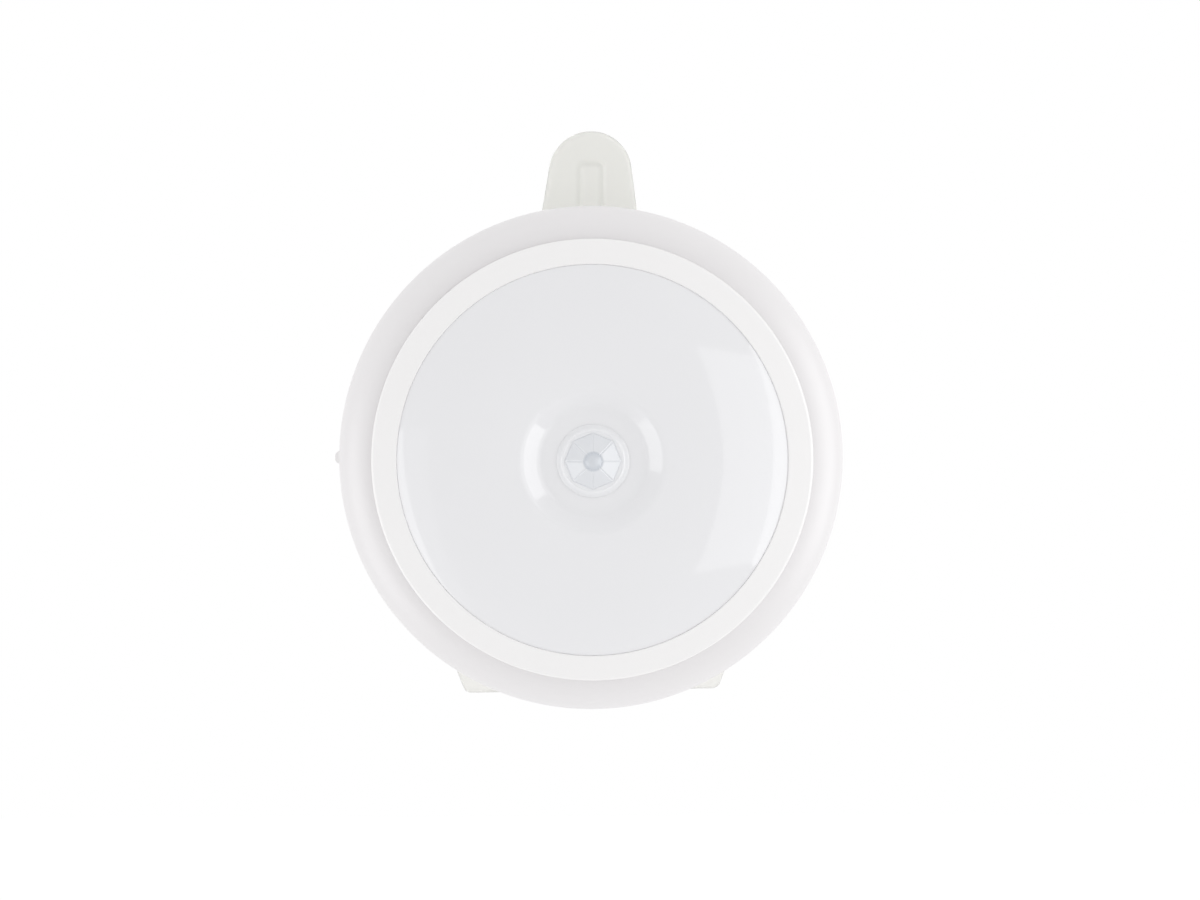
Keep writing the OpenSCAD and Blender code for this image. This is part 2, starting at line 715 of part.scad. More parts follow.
// Battery tray: open bay for three cells under a round plate that carries the board
module tray_bay() {
    low = z_tray - tray_depth;
    difference() {
        block([bay_w + 2 * tray_wall, 2 * tray_end, tray_depth + tray_t / 2], [0, 0, low]);
        block([bay_w, bay_l, tray_depth + 1], [0, 0, low - 1]);
        for (s = [-1, 1]) block(
            [tail_w + 2 * rest, tray_wall + 1, plate_t + 2 * rest],
            [-s * cell_pitch, s * (bay_end + tray_wall / 2), z_cell - rest]
        );
    }
    for (x = [-0.5, 0.5]) block([1.4, bay_l - 10, 1.5], [x * cell_pitch, 0, z_tray - 1.5]);
}
module tray_ears() {
    arm_w = 7;
    around(post_angles, 0) {
        block([arm_t, arm_w, z_tray + tray_t / 2 - z_ear], [arm_r - arm_t / 2, 0, z_ear]);
        block([post_ring_r - arm_r + arm_t, arm_w - 1, ear_t], [(post_ring_r + arm_r - arm_t) / 2, 0, z_ear]);
        translate([post_ring_r, 0, z_ear]) cylinder(r = ear_r, h = ear_t);
    }
}
module switch_bracket() {
    back = frame_x - frame_h;
    low = z_switch - frame_w / 2;
    h = z_tray + tray_t / 2 - low;
    span = frame_l + 2 * fit + 2 * cheek_t;
    cheek_l = 3.4;
    difference() {
        block([bracket_t, span, h], [-back + bracket_t / 2, 0, low]);
        for (y = [-4, 0, 4]) block([4 * bracket_t, 1.2, 1.6], [-back, y, z_switch - 0.8]);
    }
    for (s = [-1, 1]) block([cheek_l + bracket_t, cheek_t, h],
        [-back + bracket_t - (cheek_l + bracket_t) / 2, s * (span - cheek_t) / 2, low]);
    block([3, span, tray_t], [-back + bracket_t - 1.5, 0, z_tray]);
}
module battery_tray() {
    boss_l = board_screw_l + 1;
    color("whitesmoke") on_wall() difference() {
        union() {
            translate([0, 0, z_tray]) cylinder(r = tray_r, h = tray_t);
            tray_bay();
            tray_ears();
            switch_bracket();
            board_screw_places() translate([0, 0, z_board - boss_l]) cylinder(d = boss_d, h = boss_l);
        }
        board_screw_places() translate([0, 0, z_parts - board_screw_l - 0.3])
            cylinder(d = pilot_d, h = board_screw_l);
        around(post_angles, post_ring_r) translate([0, 0, z_ear - 1]) cylinder(d = screw_d + 0.4, h = ear_t + 2);
        for (p = lead_holes) translate([p.x, p.y, z_tray - 1]) cylinder(d = lead_hole_d, h = tray_t + 2);
    }
}

// Cells in series: the middle one lies the other way round
cell_x = [-cell_pitch, 0, cell_pitch];
function cell_way(i) = i == 1 ? -1 : 1;
module cell(i) {
    r = cell_d / 2;
    body_l = cell_l - nub_l;
    shift = bay_end - plate_t - rest / 2 - cell_l;
    color(["seagreen", "seagreen", "seagreen"][i]) on_wall() translate([cell_x[i], 0, z_cell])
        rotate(cell_way(i) > 0 ? 0 : 180) translate([0, shift, 0]) rotate([-90, 0, 0])
            rotate_extrude() polygon(rounded([
                [0, 0, 0], [r - 0.4, 0, 0], [r, 0.5, 0.3], [r, body_l - 0.5, 0.5], [nub_r + 1.2, body_l, 0],
                [nub_r, body_l, 0], [nub_r, cell_l, 0.4], [0, cell_l, 0]
            ]));
}

// Conical contact spring behind the flat end of a cell
spring_turns = 3;
spring_rings = 8;
spring_wide = 3.2;
spring_narrow = 2;
function spring_path() = [
    for (i = [0:spring_turns * spring_rings])
        let (
            s = i / (spring_turns * spring_rings),
            r = spring_wide + (spring_narrow - spring_wide) * s,
            a = 360 * spring_turns * s,
            free = spring_l - spring_wire - rest
        )
        [r * cos(a), free * s, r * sin(a)]
];
spring_points = spring_path();
spring_space = min([
    for (i = [0:len(spring_points) - 1], j = [i + spring_rings - 1:1:len(spring_points) - 1])
        norm(spring_points[i] - spring_points[j]) - spring_wire
]);
echo(least_gap_between_spring_turns = spring_space);
module contact_spring(i) {
    y = bay_end - plate_t - spring_wire / 2 - rest / 2;
    color("silver") on_wall() translate([cell_x[i], 0, z_cell]) rotate(cell_way(i) > 0 ? 0 : 180)
        translate([0, -y, 0]) tube(spring_points, spring_wire / 2, 6, [1, 0, 0]);
}

// Contact plates: a terminal with a solder tail at two corners, a link between two cells at the others
module contact_plate(x, w, s) {
    block([w, plate_t, plate_h], [x, s * (bay_end - plate_t / 2), z_cell - plate_h / 2]);
}
module contact_plates() {
    color("silver") on_wall() for (s = [-1, 1]) {
        contact_plate(s * cell_pitch / 2, plate_w + cell_pitch, s);
        contact_plate(-s * cell_pitch, plate_w - 2, s);
        block([tail_w, tray_wall + tail_l + plate_t, plate_t],
            [-s * cell_pitch, s * (bay_end - plate_t + (tray_wall + tail_l + plate_t) / 2), z_cell]);
    }
}

// Three-position slide switch behind the side wall
module switch_frame() {
    slot = slider_w + 2 * switch_step + 2 * fit;
    color("silver") on_wall() {
        difference() {
            block([frame_h, frame_l, frame_w], [-frame_x + frame_h / 2, 0, z_switch - frame_w / 2]);
            block([2.4, slot, slider_h + 2 * fit], [-frame_x, 0, z_switch - slider_h / 2 - fit]);
        }
        for (y = [-4, 0, 4]) block([pin_out, 0.8, 0.4], [-frame_x + frame_h + pin_out / 2, y, z_switch - 0.2]);
    }
}
module switch_slider() {
    l = frame_gap + 1 + socket_h;
    color("dimgray") on_wall()
        block([l, slider_w, slider_h], [-frame_x + 1 - l / 2, 0, z_switch - slider_h / 2]);
}
module switch_cap() {
    reach = body_r + cap_proud - cap_x;
    nose_r = 0.4 * cap_w;
    color("white") on_wall() difference() {
        union() {
            block([cap_plate_t, cap_plate_l, cap_plate_h], [-cap_x + cap_plate_t / 2, 0, z_switch - cap_plate_h / 2]);
            translate([-cap_x + 0.1, 0, z_switch - cap_h / 2]) linear_extrude(cap_h) polygon(rounded([
                [0, -cap_w / 2, 0], [0, cap_w / 2, 0], [-reach - 0.1, cap_w / 2, nose_r],
                [-reach - 0.1, -cap_w / 2, nose_r]
            ]));
        }
        block([2 * socket_h, slider_w + rest, slider_h + rest],
            [-cap_x + cap_plate_t, 0, z_switch - (slider_h + rest) / 2]);
    }
}

// Insulated leads between the tray's terminals, the switch and the board
lead_steps = 3;
module lead(route, side, shade) {
    color(shade) on_wall() tube(smooth(route, lead_steps), lead_d / 2, 8, side);
}

suction_cup();
back_cover();
housing();
bezel_ring();
diffuser();
fresnel_lens();
lens_holder();
sensor_can();
sensor_window();
circuit_board();
led_packages();
led_phosphors();
daylight_sensor();
control_chip();
chip_parts();
capacitor();
board_screws();
battery_tray();
tray_screws();
contact_plates();
contact_spring(0);  // spring_left
contact_spring(1);  // spring_middle
contact_spring(2);  // spring_right
cell(0);  // cell_left
cell(1);  // cell_middle
cell(2);  // cell_right
switch_frame();
switch_slider();
switch_cap();
lead(lead_positive_route, [1, 0, 0], "crimson");  // lead_positive
lead(lead_switched_route, [0, 1, 0], "crimson");  // lead_switched
lead(lead_negative_route, [1, 0, 0], "dimgray");  // lead_negative
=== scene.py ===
# %% [markdown]
# # Motion sensor cabinet light
# A round battery light for the inside of a cabinet. A white shell carries a bezel ring and an
# opal dome; a dimple in the dome holds the faceted lens of the motion sensor, and a soft
# suction cup behind the shell holds the light on a smooth wall. The exact solids of the light
# are loaded as a fixed frame, and this notebook dresses them: it gives each piece its finish
# and makes anew the pieces whose softness or fineness a solid can't show.

import math

import bmesh
import bpy
import numpy as np
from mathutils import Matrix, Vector
from mathutils.geometry import delaunay_2d_cdt


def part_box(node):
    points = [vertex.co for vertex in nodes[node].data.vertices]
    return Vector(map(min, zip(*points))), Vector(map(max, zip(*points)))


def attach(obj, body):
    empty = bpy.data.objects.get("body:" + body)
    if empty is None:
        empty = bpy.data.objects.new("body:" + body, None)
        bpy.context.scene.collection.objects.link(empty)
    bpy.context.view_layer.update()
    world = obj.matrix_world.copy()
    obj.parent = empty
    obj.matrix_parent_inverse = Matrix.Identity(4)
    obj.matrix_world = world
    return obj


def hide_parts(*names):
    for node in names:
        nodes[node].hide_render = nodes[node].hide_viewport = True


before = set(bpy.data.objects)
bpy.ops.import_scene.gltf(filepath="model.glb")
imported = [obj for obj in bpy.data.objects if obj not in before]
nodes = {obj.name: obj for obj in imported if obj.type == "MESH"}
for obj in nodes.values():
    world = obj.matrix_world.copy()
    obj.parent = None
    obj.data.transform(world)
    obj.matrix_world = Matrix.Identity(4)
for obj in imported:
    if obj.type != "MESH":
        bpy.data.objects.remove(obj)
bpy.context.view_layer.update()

# %% [markdown]
# ## Units and small helpers
# Sizes are written in millimetres and turned to metres by one factor. The source of the solids
# draws the light lying on a bench with z towards its front, so `stand` turns bench points up
# against the wall. `linear` turns the hex colours of a paint chart to the linear values that a
# shader works with, `add` puts one node into a tree with its settings and links, and `put`
# brings a mesh, a lamp or the camera into the scene.

# %% Helpers
MM = 0.001


def stand(points):
    """Bench millimetres (x right, y to the pull tab, z to the front) to metres on the wall."""
    x, y, z = np.asarray(points, float).T
    return np.column_stack((x, -z, y)) * MM


def linear(chart_colour):
    """sRGB hex to linear RGBA."""
    parts = [int(chart_colour[i:i + 2], 16) / 255 for i in (1, 3, 5)]
    return (*[c / 12.92 if c <= 0.04045 else ((c + 0.055) / 1.055) ** 2.4 for c in parts], 1.0)


def add(tree, kind, inputs=None, **settings):
    """One node, with its settings, and with each input set to a value or linked.

    A link starts from an output, or from the first output of a node."""
    node = tree.nodes.new(kind)
    for name, value in settings.items():
        setattr(node, name, value)
    for name, value in (inputs or {}).items():
        if isinstance(value, bpy.types.Node):
            value = value.outputs[0]
        if isinstance(value, bpy.types.NodeSocket):
            tree.links.new(value, node.inputs[name])
        else:
            node.inputs[name].default_value = value
    return node


def new_material(name):
    """A material, its tree, and the place on the object that its patterns follow."""
    material = bpy.data.materials.new(name)
    material.use_nodes = True
    tree = material.node_tree
    tree.nodes.clear()
    return material, tree, add(tree, "ShaderNodeTexCoord").outputs["Object"]


def put(name, data):
    """A new object in the scene, at the origin."""
    thing = bpy.data.objects.new(name, data)
    bpy.context.scene.collection.objects.link(thing)
    return thing


print("helpers ready: one millimetre is", MM, "m")

# %% [markdown]
# ## Camera
# The light is seen almost square on, from a little above and a little to its left: its nearer
# rings sit lower and further right in the picture than its outline does. A long lens from
# 0.7 m keeps the rings round. The frame is 1200 by 900 points, and the outline of the shell
# lies a little left of its middle and a little below it, so the camera moves the other way.

# %% Camera
FRAME_W, SENSOR_W = 1200, 36  # width of the picture in points, and of the camera's sensor in mm
SHELL_R, SHELL_POINTS = 39.83 * MM, 251.8  # radius of the shell's outline, in metres and in points
POINT = SHELL_R / SHELL_POINTS  # metres in one point of the picture
OUTLINE_Y = -18.6 * MM  # depth at which the shell is widest
LEFT_OF_MIDDLE, BELOW_MIDDLE = 8.75, 7.9  # place of the outline in the picture, in points
DISTANCE, VIEW_AZIMUTH, VIEW_ELEVATION = 0.7, -1.5, 2.3


def outward(azimuth, elevation):
    """Direction from the light to a place in front of it, by degrees to the right and up."""
    a, e = math.radians(azimuth), math.radians(elevation)
    return Vector((math.sin(a) * math.cos(e), -math.cos(a) * math.cos(e), math.sin(e)))


to_camera = outward(VIEW_AZIMUTH, VIEW_ELEVATION)
turn = (-to_camera).to_track_quat("-Z", "Y")
right, up = turn @ Vector((1, 0, 0)), turn @ Vector((0, 1, 0))
camera = put("camera", bpy.data.cameras.new("camera"))
camera.data.sensor_width = SENSOR_W
camera.data.lens = SENSOR_W * DISTANCE / (FRAME_W * POINT)
camera.location = (
    Vector((0, OUTLINE_Y, 0)) + right * LEFT_OF_MIDDLE * POINT + up * BELOW_MIDDLE * POINT
    + to_camera * DISTANCE
)
camera.rotation_mode = "QUATERNION"
camera.rotation_quaternion = turn
camera.data.clip_start, camera.data.clip_end = 0.01, 50
bpy.context.scene.camera = camera
print("camera at", [round(v, 3) for v in camera.location], "lens", round(camera.data.lens, 1))

# %% [markdown]
# ## Studio
# A light tent: white cloth all round lights the object almost evenly, a little more from the two
# sides, so each colour renders about as it is written. The camera stands in a dim opening of the
# tent, so mirror rays that go to the front find grey, and two soft boxes stand where their
# reflections lie on the dome. Each has a dimmer strip along its inner edge, and they show in gloss
# alone, because the cloth already gives the plain light. By Light Path, the camera sees a backdrop
# instead of the cloth, also through clear plastic: white behind the light, as in its picture, and
# pale grey on the other sides, so that white plastic keeps its edge there too. The floor goes from
# grey to white with it, and stays out of mirror rays, where its far edge would draw a line.

# %% World
CLOTH, RIGHT_LIFT, SIDE_LIFT = 0.77, 0.13, 0.66  # the cloth, more from the right, more from both sides
OPENING = {"From Min": -0.85, "From Max": -0.1, "To Min": 0.4, "To Max": 1.0}  # dim to the front
BACKDROP = {"From Min": 0.6, "From Max": 0.95}  # it turns white between these shares of straight back
PALE_GREY = 0.84  # strength of the backdrop at the sides, where 1 is white


def seen(tree):
    """1 for rays that the camera sends, also through clear plastic, and 0 for all others."""
    ray = add(tree, "ShaderNodeLightPath")
    return add(tree, "ShaderNodeMath", {
        0: ray.outputs["Is Camera Ray"], 1: ray.outputs["Is Transmission Ray"],
    }, operation="MAXIMUM")


world = bpy.data.worlds.new("light_tent")
world.use_nodes = True
bpy.context.scene.world = world
sky = world.node_tree
sky.nodes.clear()
direction = add(sky, "ShaderNodeTexCoord").outputs["Generated"]
parts = add(sky, "ShaderNodeSeparateXYZ", {0: direction})
sides = add(sky, "ShaderNodeMath", {
    0: parts.outputs["X"], 1: SIDE_LIFT, 2: RIGHT_LIFT,
}, operation="MULTIPLY_ADD")
cloth = add(sky, "ShaderNodeMath", {0: parts.outputs["X"], 1: sides, 2: CLOTH}, operation="MULTIPLY_ADD")
opening = add(sky, "ShaderNodeMapRange", {
    "Value": parts.outputs["Y"], **OPENING,
}, interpolation_type="SMOOTHSTEP")
mirrored = add(sky, "ShaderNodeLightPath").outputs["Is Glossy Ray"]
tent = add(sky, "ShaderNodeMix", {0: mirrored, 2: cloth, 3: opening})
backdrop = add(sky, "ShaderNodeMapRange", {
    "Value": parts.outputs["Y"], **BACKDROP, "To Min": PALE_GREY, "To Max": 1.0,
}, interpolation_type="SMOOTHSTEP")
strength = add(sky, "ShaderNodeMix", {0: seen(sky), 2: tent, 3: backdrop})
paper = add(sky, "ShaderNodeBackground", {"Color": (1, 1, 1, 1), "Strength": strength})
add(sky, "ShaderNodeOutputWorld", {"Surface": paper})
print("world:", world.name, "with", len(sky.nodes), "nodes")

# %% Floor
FLOOR_Z, FLOOR_REACH = -0.8, 6.0  # metres
FLOOR_GLOW = 0.34  # light of its own, so that the object is lit from below too
SEEN_GREY, SEEN_WHITE = 0.19, 0.38  # the same as the camera sees it, at the sides and straight back

floor_mesh = bpy.data.meshes.new("floor")
corners = ((-1, -1), (1, -1), (1, 1), (-1, 1))
floor_mesh.from_pydata(
    [(x * FLOOR_REACH, y * FLOOR_REACH, FLOOR_Z) for x, y in corners], [], [(0, 1, 2, 3)])
floor = put("floor", floor_mesh)
# White paper: quite matt, so that it shows a soft shadow and no reflection.
white_paper, tree, place = new_material("white_paper")
matt = add(tree, "ShaderNodeBsdfDiffuse", {"Color": linear("#D9D9D9")})
bearing = add(tree, "ShaderNodeVectorMath", {0: place}, operation="NORMALIZE")
whiter = add(tree, "ShaderNodeMapRange", {
    "Value": add(tree, "ShaderNodeSeparateXYZ", {0: bearing}).outputs["Y"],
    **BACKDROP, "To Min": SEEN_GREY, "To Max": SEEN_WHITE,
}, interpolation_type="SMOOTHSTEP")
lift = add(tree, "ShaderNodeMix", {0: seen(tree), 2: FLOOR_GLOW, 3: whiter})
glow = add(tree, "ShaderNodeEmission", {"Color": (1, 1, 1, 1), "Strength": lift})
both = add(tree, "ShaderNodeAddShader", {0: matt, 1: glow})
add(tree, "ShaderNodeOutputMaterial", {"Surface": both})
floor_mesh.materials.append(white_paper)
floor.visible_glossy = False
print("floor", -FLOOR_Z, "m below the axis of the light")

# %% Soft boxes
BOX_DISTANCE = 0.62


def soft_box(name, azimuth, elevation, width, height, radiance):
    """A rectangle that faces the lamp and shows in gloss; its power follows from its radiance."""
    light = bpy.data.lights.new(name, "AREA")
    light.shape, light.size, light.size_y = "RECTANGLE", width, height
    light.energy = radiance * math.pi * width * height
    out = outward(azimuth, elevation)
    box = put(name, light)
    box.location = Vector((0, OUTLINE_Y, 0)) + out * BOX_DISTANCE
    box.rotation_mode = "QUATERNION"
    box.rotation_quaternion = (-out).to_track_quat("-Z", "Y")
    box.visible_diffuse = False
    box.visible_transmission = False
    print(name, "power", round(light.energy, 2), "W")


soft_box("soft_box_right", azimuth=71.5, elevation=-1, width=0.539, height=0.68, radiance=2.0)
soft_box("soft_box_right_edge", azimuth=37, elevation=-2, width=0.241, height=0.58, radiance=0.85)
soft_box("soft_box_left", azimuth=-71.5, elevation=-18, width=0.539, height=0.54, radiance=1.45)
soft_box("soft_box_left_edge", azimuth=-43, elevation=-18, width=0.108, height=0.54, radiance=0.25)
bpy.context.scene.view_settings.view_transform = "Standard"

# %% [markdown]
# ## Moulded plastics
# Nearly all that shows is moulded plastic. A moulded skin is never one even tone: the melt
# leaves faint clouds in the colour, and the polish of the mould leaves a grain that breaks up the
# gloss. That grain is a few hundredths of a millimetre wide, and it is drawn about ten times as
# coarse, so that it shows. One function builds the skin, and each plastic gives it its own colours,
# gloss and grain, so the pieces stay a family and still differ. The soft PVC of the suction cup
# also lets light through, and the thicker its wall the milkier and deeper it looks, so its tone
# and its clearness follow a point value called wall that the cup brings along.

# %% Skins of one material
NOISE_SPAN = {"From Min": 0.3, "From Max": 0.7}  # nearly all of a noise lies between these
CLOUD_TRACE = 0.2  # share of the clouds in a tone that follows the wall
CLEAR_THIN, CLEAR_THICK = 0.9, 0.3  # how much light thin and thick walls let through


def surface(name, pale, deep, roughness, clouds, grain, patchy=0.55, wall=None, **more):
    """A skin with clouds of two tones, a gloss that varies, and a fine grain of real height.

    In millimetres, clouds is their width, and grain its width, or three widths along x, y and z,
    and its height. Where wall names a point value, tone and clearness follow it, with a trace of
    the clouds. What is left over sets the shader's inputs."""
    material, tree, place = new_material(name)
    width, height = grain
    cloudy = add(tree, "ShaderNodeTexNoise", {
        "Vector": place, "Scale": 1 / (clouds * MM), "Detail": 3.0, "Roughness": patchy,
    })
    stretched = add(tree, "ShaderNodeMapping", {
        "Vector": place, "Scale": tuple(1 / (np.broadcast_to(width, 3) * MM)),
    })
    grainy = add(tree, "ShaderNodeTexNoise", {"Vector": stretched, "Scale": 1.0, "Detail": 2.0})
    blend = cloudy
    if wall:
        thick = add(tree, "ShaderNodeAttribute", attribute_name=wall).outputs["Fac"]
        blend = add(tree, "ShaderNodeMath", {0: cloudy, 1: CLOUD_TRACE, 2: thick}, operation="MULTIPLY_ADD")
        more["Transmission Weight"] = add(tree, "ShaderNodeMapRange", {
            "Value": thick, "To Min": CLEAR_THIN, "To Max": CLEAR_THICK,
        })
    tone = add(tree, "ShaderNodeMix", {0: blend, 6: linear(pale), 7: linear(deep)}, data_type="RGBA")
    gloss = add(tree, "ShaderNodeMapRange", {
        "Value": cloudy, **NOISE_SPAN, "To Min": roughness[0], "To Max": roughness[1],
    })
    relief = add(tree, "ShaderNodeBump", {"Height": grainy, "Distance": height * MM, "Strength": 1.0})
    skin = add(tree, "ShaderNodeBsdfPrincipled", {
        "Base Color": tone.outputs[2], "Roughness": gloss, "Normal": relief, **more,
    })
    add(tree, "ShaderNodeOutputMaterial", {"Surface": skin})
    return material


# Semi-gloss ABS from a polished mould: a quiet white with soft-edged lights on the shoulder.
gloss_abs = surface(
    "gloss_white_abs", "#ECEAEB", "#E9E7E8",
    roughness=(0.34, 0.42), clouds=14, grain=(0.6, 0.0010), IOR=1.53)
# Satin ABS from an etched mould: a whiter white, which sets the ring off from the shell.
satin_abs = surface(
    "satin_white_abs", "#F8F7F7", "#F5F4F4",
    roughness=(0.36, 0.44), clouds=9, grain=(0.35, 0.004), IOR=1.53)
# Opal polycarbonate from a mirror-polished mould: a cool white that mirrors the soft boxes sharply.
opal = surface(
    "opal_polycarbonate", "#F0F0F2", "#EEEEF0",
    roughness=(0.05, 0.09), clouds=18, grain=(0.9, 0.0008), IOR=1.585)
# Soft PVC: a yellowish milk that lets light through, palest and clearest where it is thin.
soft_pvc = surface(
    "translucent_soft_pvc", "#FBFAF7", "#E2E4DD",
    roughness=(0.42, 0.54), clouds=7, grain=(0.4, 0.004), IOR=1.53, wall="wall")
# Matt ABS of the inner pieces, from a mould that was only cut: a dull warm white.
utility_abs = surface(
    "matt_white_abs", "#ECEBE8", "#E6E5E1",
    roughness=(0.45, 0.55), clouds=6, grain=(0.3, 0.005), IOR=1.53)
print("plastics:", [m.name for m in (gloss_abs, satin_abs, opal, soft_pvc, utility_abs)])

# %% [markdown]
# ## White shell
# The shell is right as a solid, but its mesh is loose flat triangles, and a skin with some gloss
# shows each of them as a facet. Turning the shell anew would lose its switch window and finger
# scoop. So its mesh is copied, the corners of the triangles are merged, and faces that meet at a
# small angle share their normals. The round shoulder then shades as one curve, and the scoop
# keeps its rim.

# %% Smooth copy of the shell
CRISP = math.radians(13)  # the shoulder turns by up to 12 degrees from face to face
CRISP_SCOOP = math.radians(6)  # the rim of the scoop turns by 6.5 degrees where it is flattest
SCOOP_REACH = 6.5 * MM  # from the middle of the switch cap to beyond the rim
SAME_CORNER = 0.001 * MM  # corners of triangles that lie closer than this are one

merged = bmesh.new()
merged.from_mesh(nodes["housing"].data)
bmesh.ops.remove_doubles(merged, verts=merged.verts, dist=SAME_CORNER)
cap_low, cap_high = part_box("switch_cap")
cap_middle = (Vector(cap_low) + Vector(cap_high)) / 2
for edge in merged.edges:
    edge_middle = (edge.verts[0].co + edge.verts[1].co) / 2
    limit = CRISP_SCOOP if (edge_middle - cap_middle).length < SCOOP_REACH else CRISP
    edge.smooth = edge.calc_face_angle(math.pi) < limit
for side in merged.faces:
    side.smooth = True
shell_mesh = bpy.data.meshes.new("white_shell")
merged.to_mesh(shell_mesh)
merged.free()
shell_mesh.materials.append(gloss_abs)
shell = put("white_shell", shell_mesh)
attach(shell, "lamp")
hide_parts("housing")
print("white shell:", len(shell_mesh.vertices), "points,", len(shell_mesh.polygons), "faces")

# %% [markdown]
# ## Suction cup
# The soft piece behind the light is one moulding of translucent PVC: a thin dished disc that
# seals on the wall, a straight flap below, a pull tab with a raised arch above, and a neck with
# a button that snaps into the back cover. A lathe can't give a tab and a flap, and joined solids
# leave hard steps that a soft moulding doesn't have. So its outline is taken where a smooth union
# of three plan shapes ends, the plan is filled with triangles, and each point gets a height for
# the front and one for the back. Both close on the edge in a round lip.

# %% Plan of the cup: smooth union of disc, flap and tab
CUP_R = 33.0
FLAP = (20.5, -38.6)  # lower right corner of the flap, before it leans
TAB_END, TAB_R, TAB_TAPER = 52.1, 6.7, math.atan(0.148)
LEAN = 0.4  # the soft tab and flap sit this far to the right of the axis
TILT, SKEW = 0.02, 0.016  # the tab tilts to the right, and the flap's lower edge rises to the right
FLAP_ROUND, FLAP_ROOT_ROUND, TAB_ROOT_ROUND = 0.9, 0.1, 2.5
NEAR, FAR = 20.0, 70.0  # the edge lies between these radii all round
DIRECTIONS, HALVINGS, EDGE_STEP = 6000, 48, 0.45  # how finely the edge is found, and then divided


def soft_min(a, b, k):
    """The smaller of two distances, rounded off over k millimetres."""
    h = np.maximum(k - np.abs(a - b), 0) / k
    return np.minimum(a, b) - h * h * k / 4


def soft_max(a, b, k):
    """The larger of two distances, rounded off over k millimetres."""
    return -soft_min(-a, -b, k)


def step(v, low, high):
    """0 below low, 1 above high, and an even slope that eases in and out between them."""
    t = np.clip((v - low) / (high - low), 0, 1)
    return t * t * (3 - 2 * t)


def tab_distance(x, y):
    """Distance from the tab's edge in plan: a round end and two sides that spread to the root."""
    x, y = np.abs(x - LEAN - TILT * (y - TAB_END)), y - (TAB_END - TAB_R)
    along = -x * math.sin(TAB_TAPER) + y * math.cos(TAB_TAPER)
    across = x * math.cos(TAB_TAPER) + y * math.sin(TAB_TAPER)
    return np.where(along > 0, np.hypot(x, y), across) - TAB_R


def plan_distance(x, y):
    """Distance from the cup's edge in plan, negative inside."""
    turn = math.atan2(FLAP[1], FLAP[0]) + math.acos(CUP_R / math.hypot(*FLAP))
    touch_y = CUP_R * math.sin(turn)  # the flap's sides leave the disc here, as tangents
    lean = LEAN * step(-y, -touch_y, -FLAP[1])
    sides = np.abs(x - lean) * math.cos(turn) + y * math.sin(turn) - CUP_R
    flap = soft_max(sides, FLAP[1] - y + SKEW * x, FLAP_ROUND)
    flap = soft_max(flap, y - touch_y, FLAP_ROOT_ROUND)
    tab = np.where(y > 0, tab_distance(x, y), CUP_R)
    return soft_min(np.minimum(np.hypot(x, y) - CUP_R, flap), tab, TAB_ROOT_ROUND)


angles = np.linspace(0, 2 * math.pi, DIRECTIONS, endpoint=False)
inner, outer = np.full(angles.shape, NEAR), np.full(angles.shape, FAR)
for _ in range(HALVINGS):
    middle = (inner + outer) / 2
    inside = plan_distance(middle * np.cos(angles), middle * np.sin(angles)) < 0
    inner, outer = np.where(inside, middle, inner), np.where(inside, outer, middle)
rim = np.column_stack((inner * np.cos(angles), inner * np.sin(angles)))
lengths = np.linalg.norm(np.diff(rim, axis=0, append=rim[:1]), axis=1)
walk = np.concatenate(([0], np.cumsum(lengths)))
even = np.linspace(0, walk[-1], int(walk[-1] / EDGE_STEP), endpoint=False)
outline = np.column_stack([np.interp(even, walk, np.append(rim[:, i], rim[0, i])) for i in (0, 1)])
print("cup outline:", len(outline), "points,", round(walk[-1], 1), "mm round")

# %% Heights of the cup over the wall
LIP_T, HUB_R, HUB_H = 1.2, 10, 6
CONE_TOP, CONE_FOOT = (13, 4.65), (31.5, 1.3)  # radius and height of the cone's two ends
DISH_R, DISH = 30.0, 3.0  # radius and depth of the hollow on the side of the wall
TAB_Z, TAB_T, TAB_FROM = 0.5, 1.6, 20  # the tab's lift and thickness; it lies further up than TAB_FROM
TAB_EASE, TAB_BLEND, TAB_RISE = 0.5, 0.4, (32.5, 35)  # how softly it meets its edge, the cone, the lip
ARCH_R, ARCH_END, ARCH_CORNER, ARCH_H = 2.15, 47.3, 1.3, 0.3  # half width, upper end, corners, height
BEAD_IN, BEAD_W, ARCH_FOOT = 0.3, 0.38, (36.6, 38)  # the arch is a bead that fades out at its foot
REACH, PER_MM = 60, 100  # end of the profile, and its points in a millimetre
SMOOTHED, HUB_FLAT = 1.2, 9  # corners are smoothed over this width, outside the flat of the hub

knots = ((0, HUB_H), (HUB_R, HUB_H), CONE_TOP, CONE_FOOT, (CUP_R, LIP_T), (REACH, LIP_T))
profile_r = np.linspace(0, REACH, REACH * PER_MM + 1)
profile_z = np.interp(profile_r, *zip(*knots))
window = np.hanning(int(SMOOTHED * PER_MM) + 1)
smoothed = np.convolve(profile_z, window / window.sum(), mode="same")
profile_z[HUB_FLAT * PER_MM:] = smoothed[HUB_FLAT * PER_MM:]
profile_z[(REACH - 1) * PER_MM:] = LIP_T  # the window runs over the end in the last millimetre


def front_height(x, y):
    """Front of the cup: hub and cone, or the tab where that is higher, with its raised arch."""
    cone = np.interp(np.hypot(x, y), profile_r, profile_z)
    tab = LIP_T + (TAB_Z + TAB_T - LIP_T) * step(-tab_distance(x, y), -TAB_EASE, TAB_EASE)
    tab = np.where(y > TAB_FROM, tab, 0)
    beside = np.maximum(np.abs(x - LEAN) - ARCH_R + ARCH_CORNER, 0)
    beyond = np.maximum(y - ARCH_END + ARCH_CORNER, 0)
    arch_edge = np.hypot(beside, beyond) - ARCH_CORNER
    bead = ARCH_H * np.exp(-((arch_edge + BEAD_IN) / BEAD_W) ** 2)
    return soft_max(cone, tab, TAB_BLEND) + bead * step(y, *ARCH_FOOT)


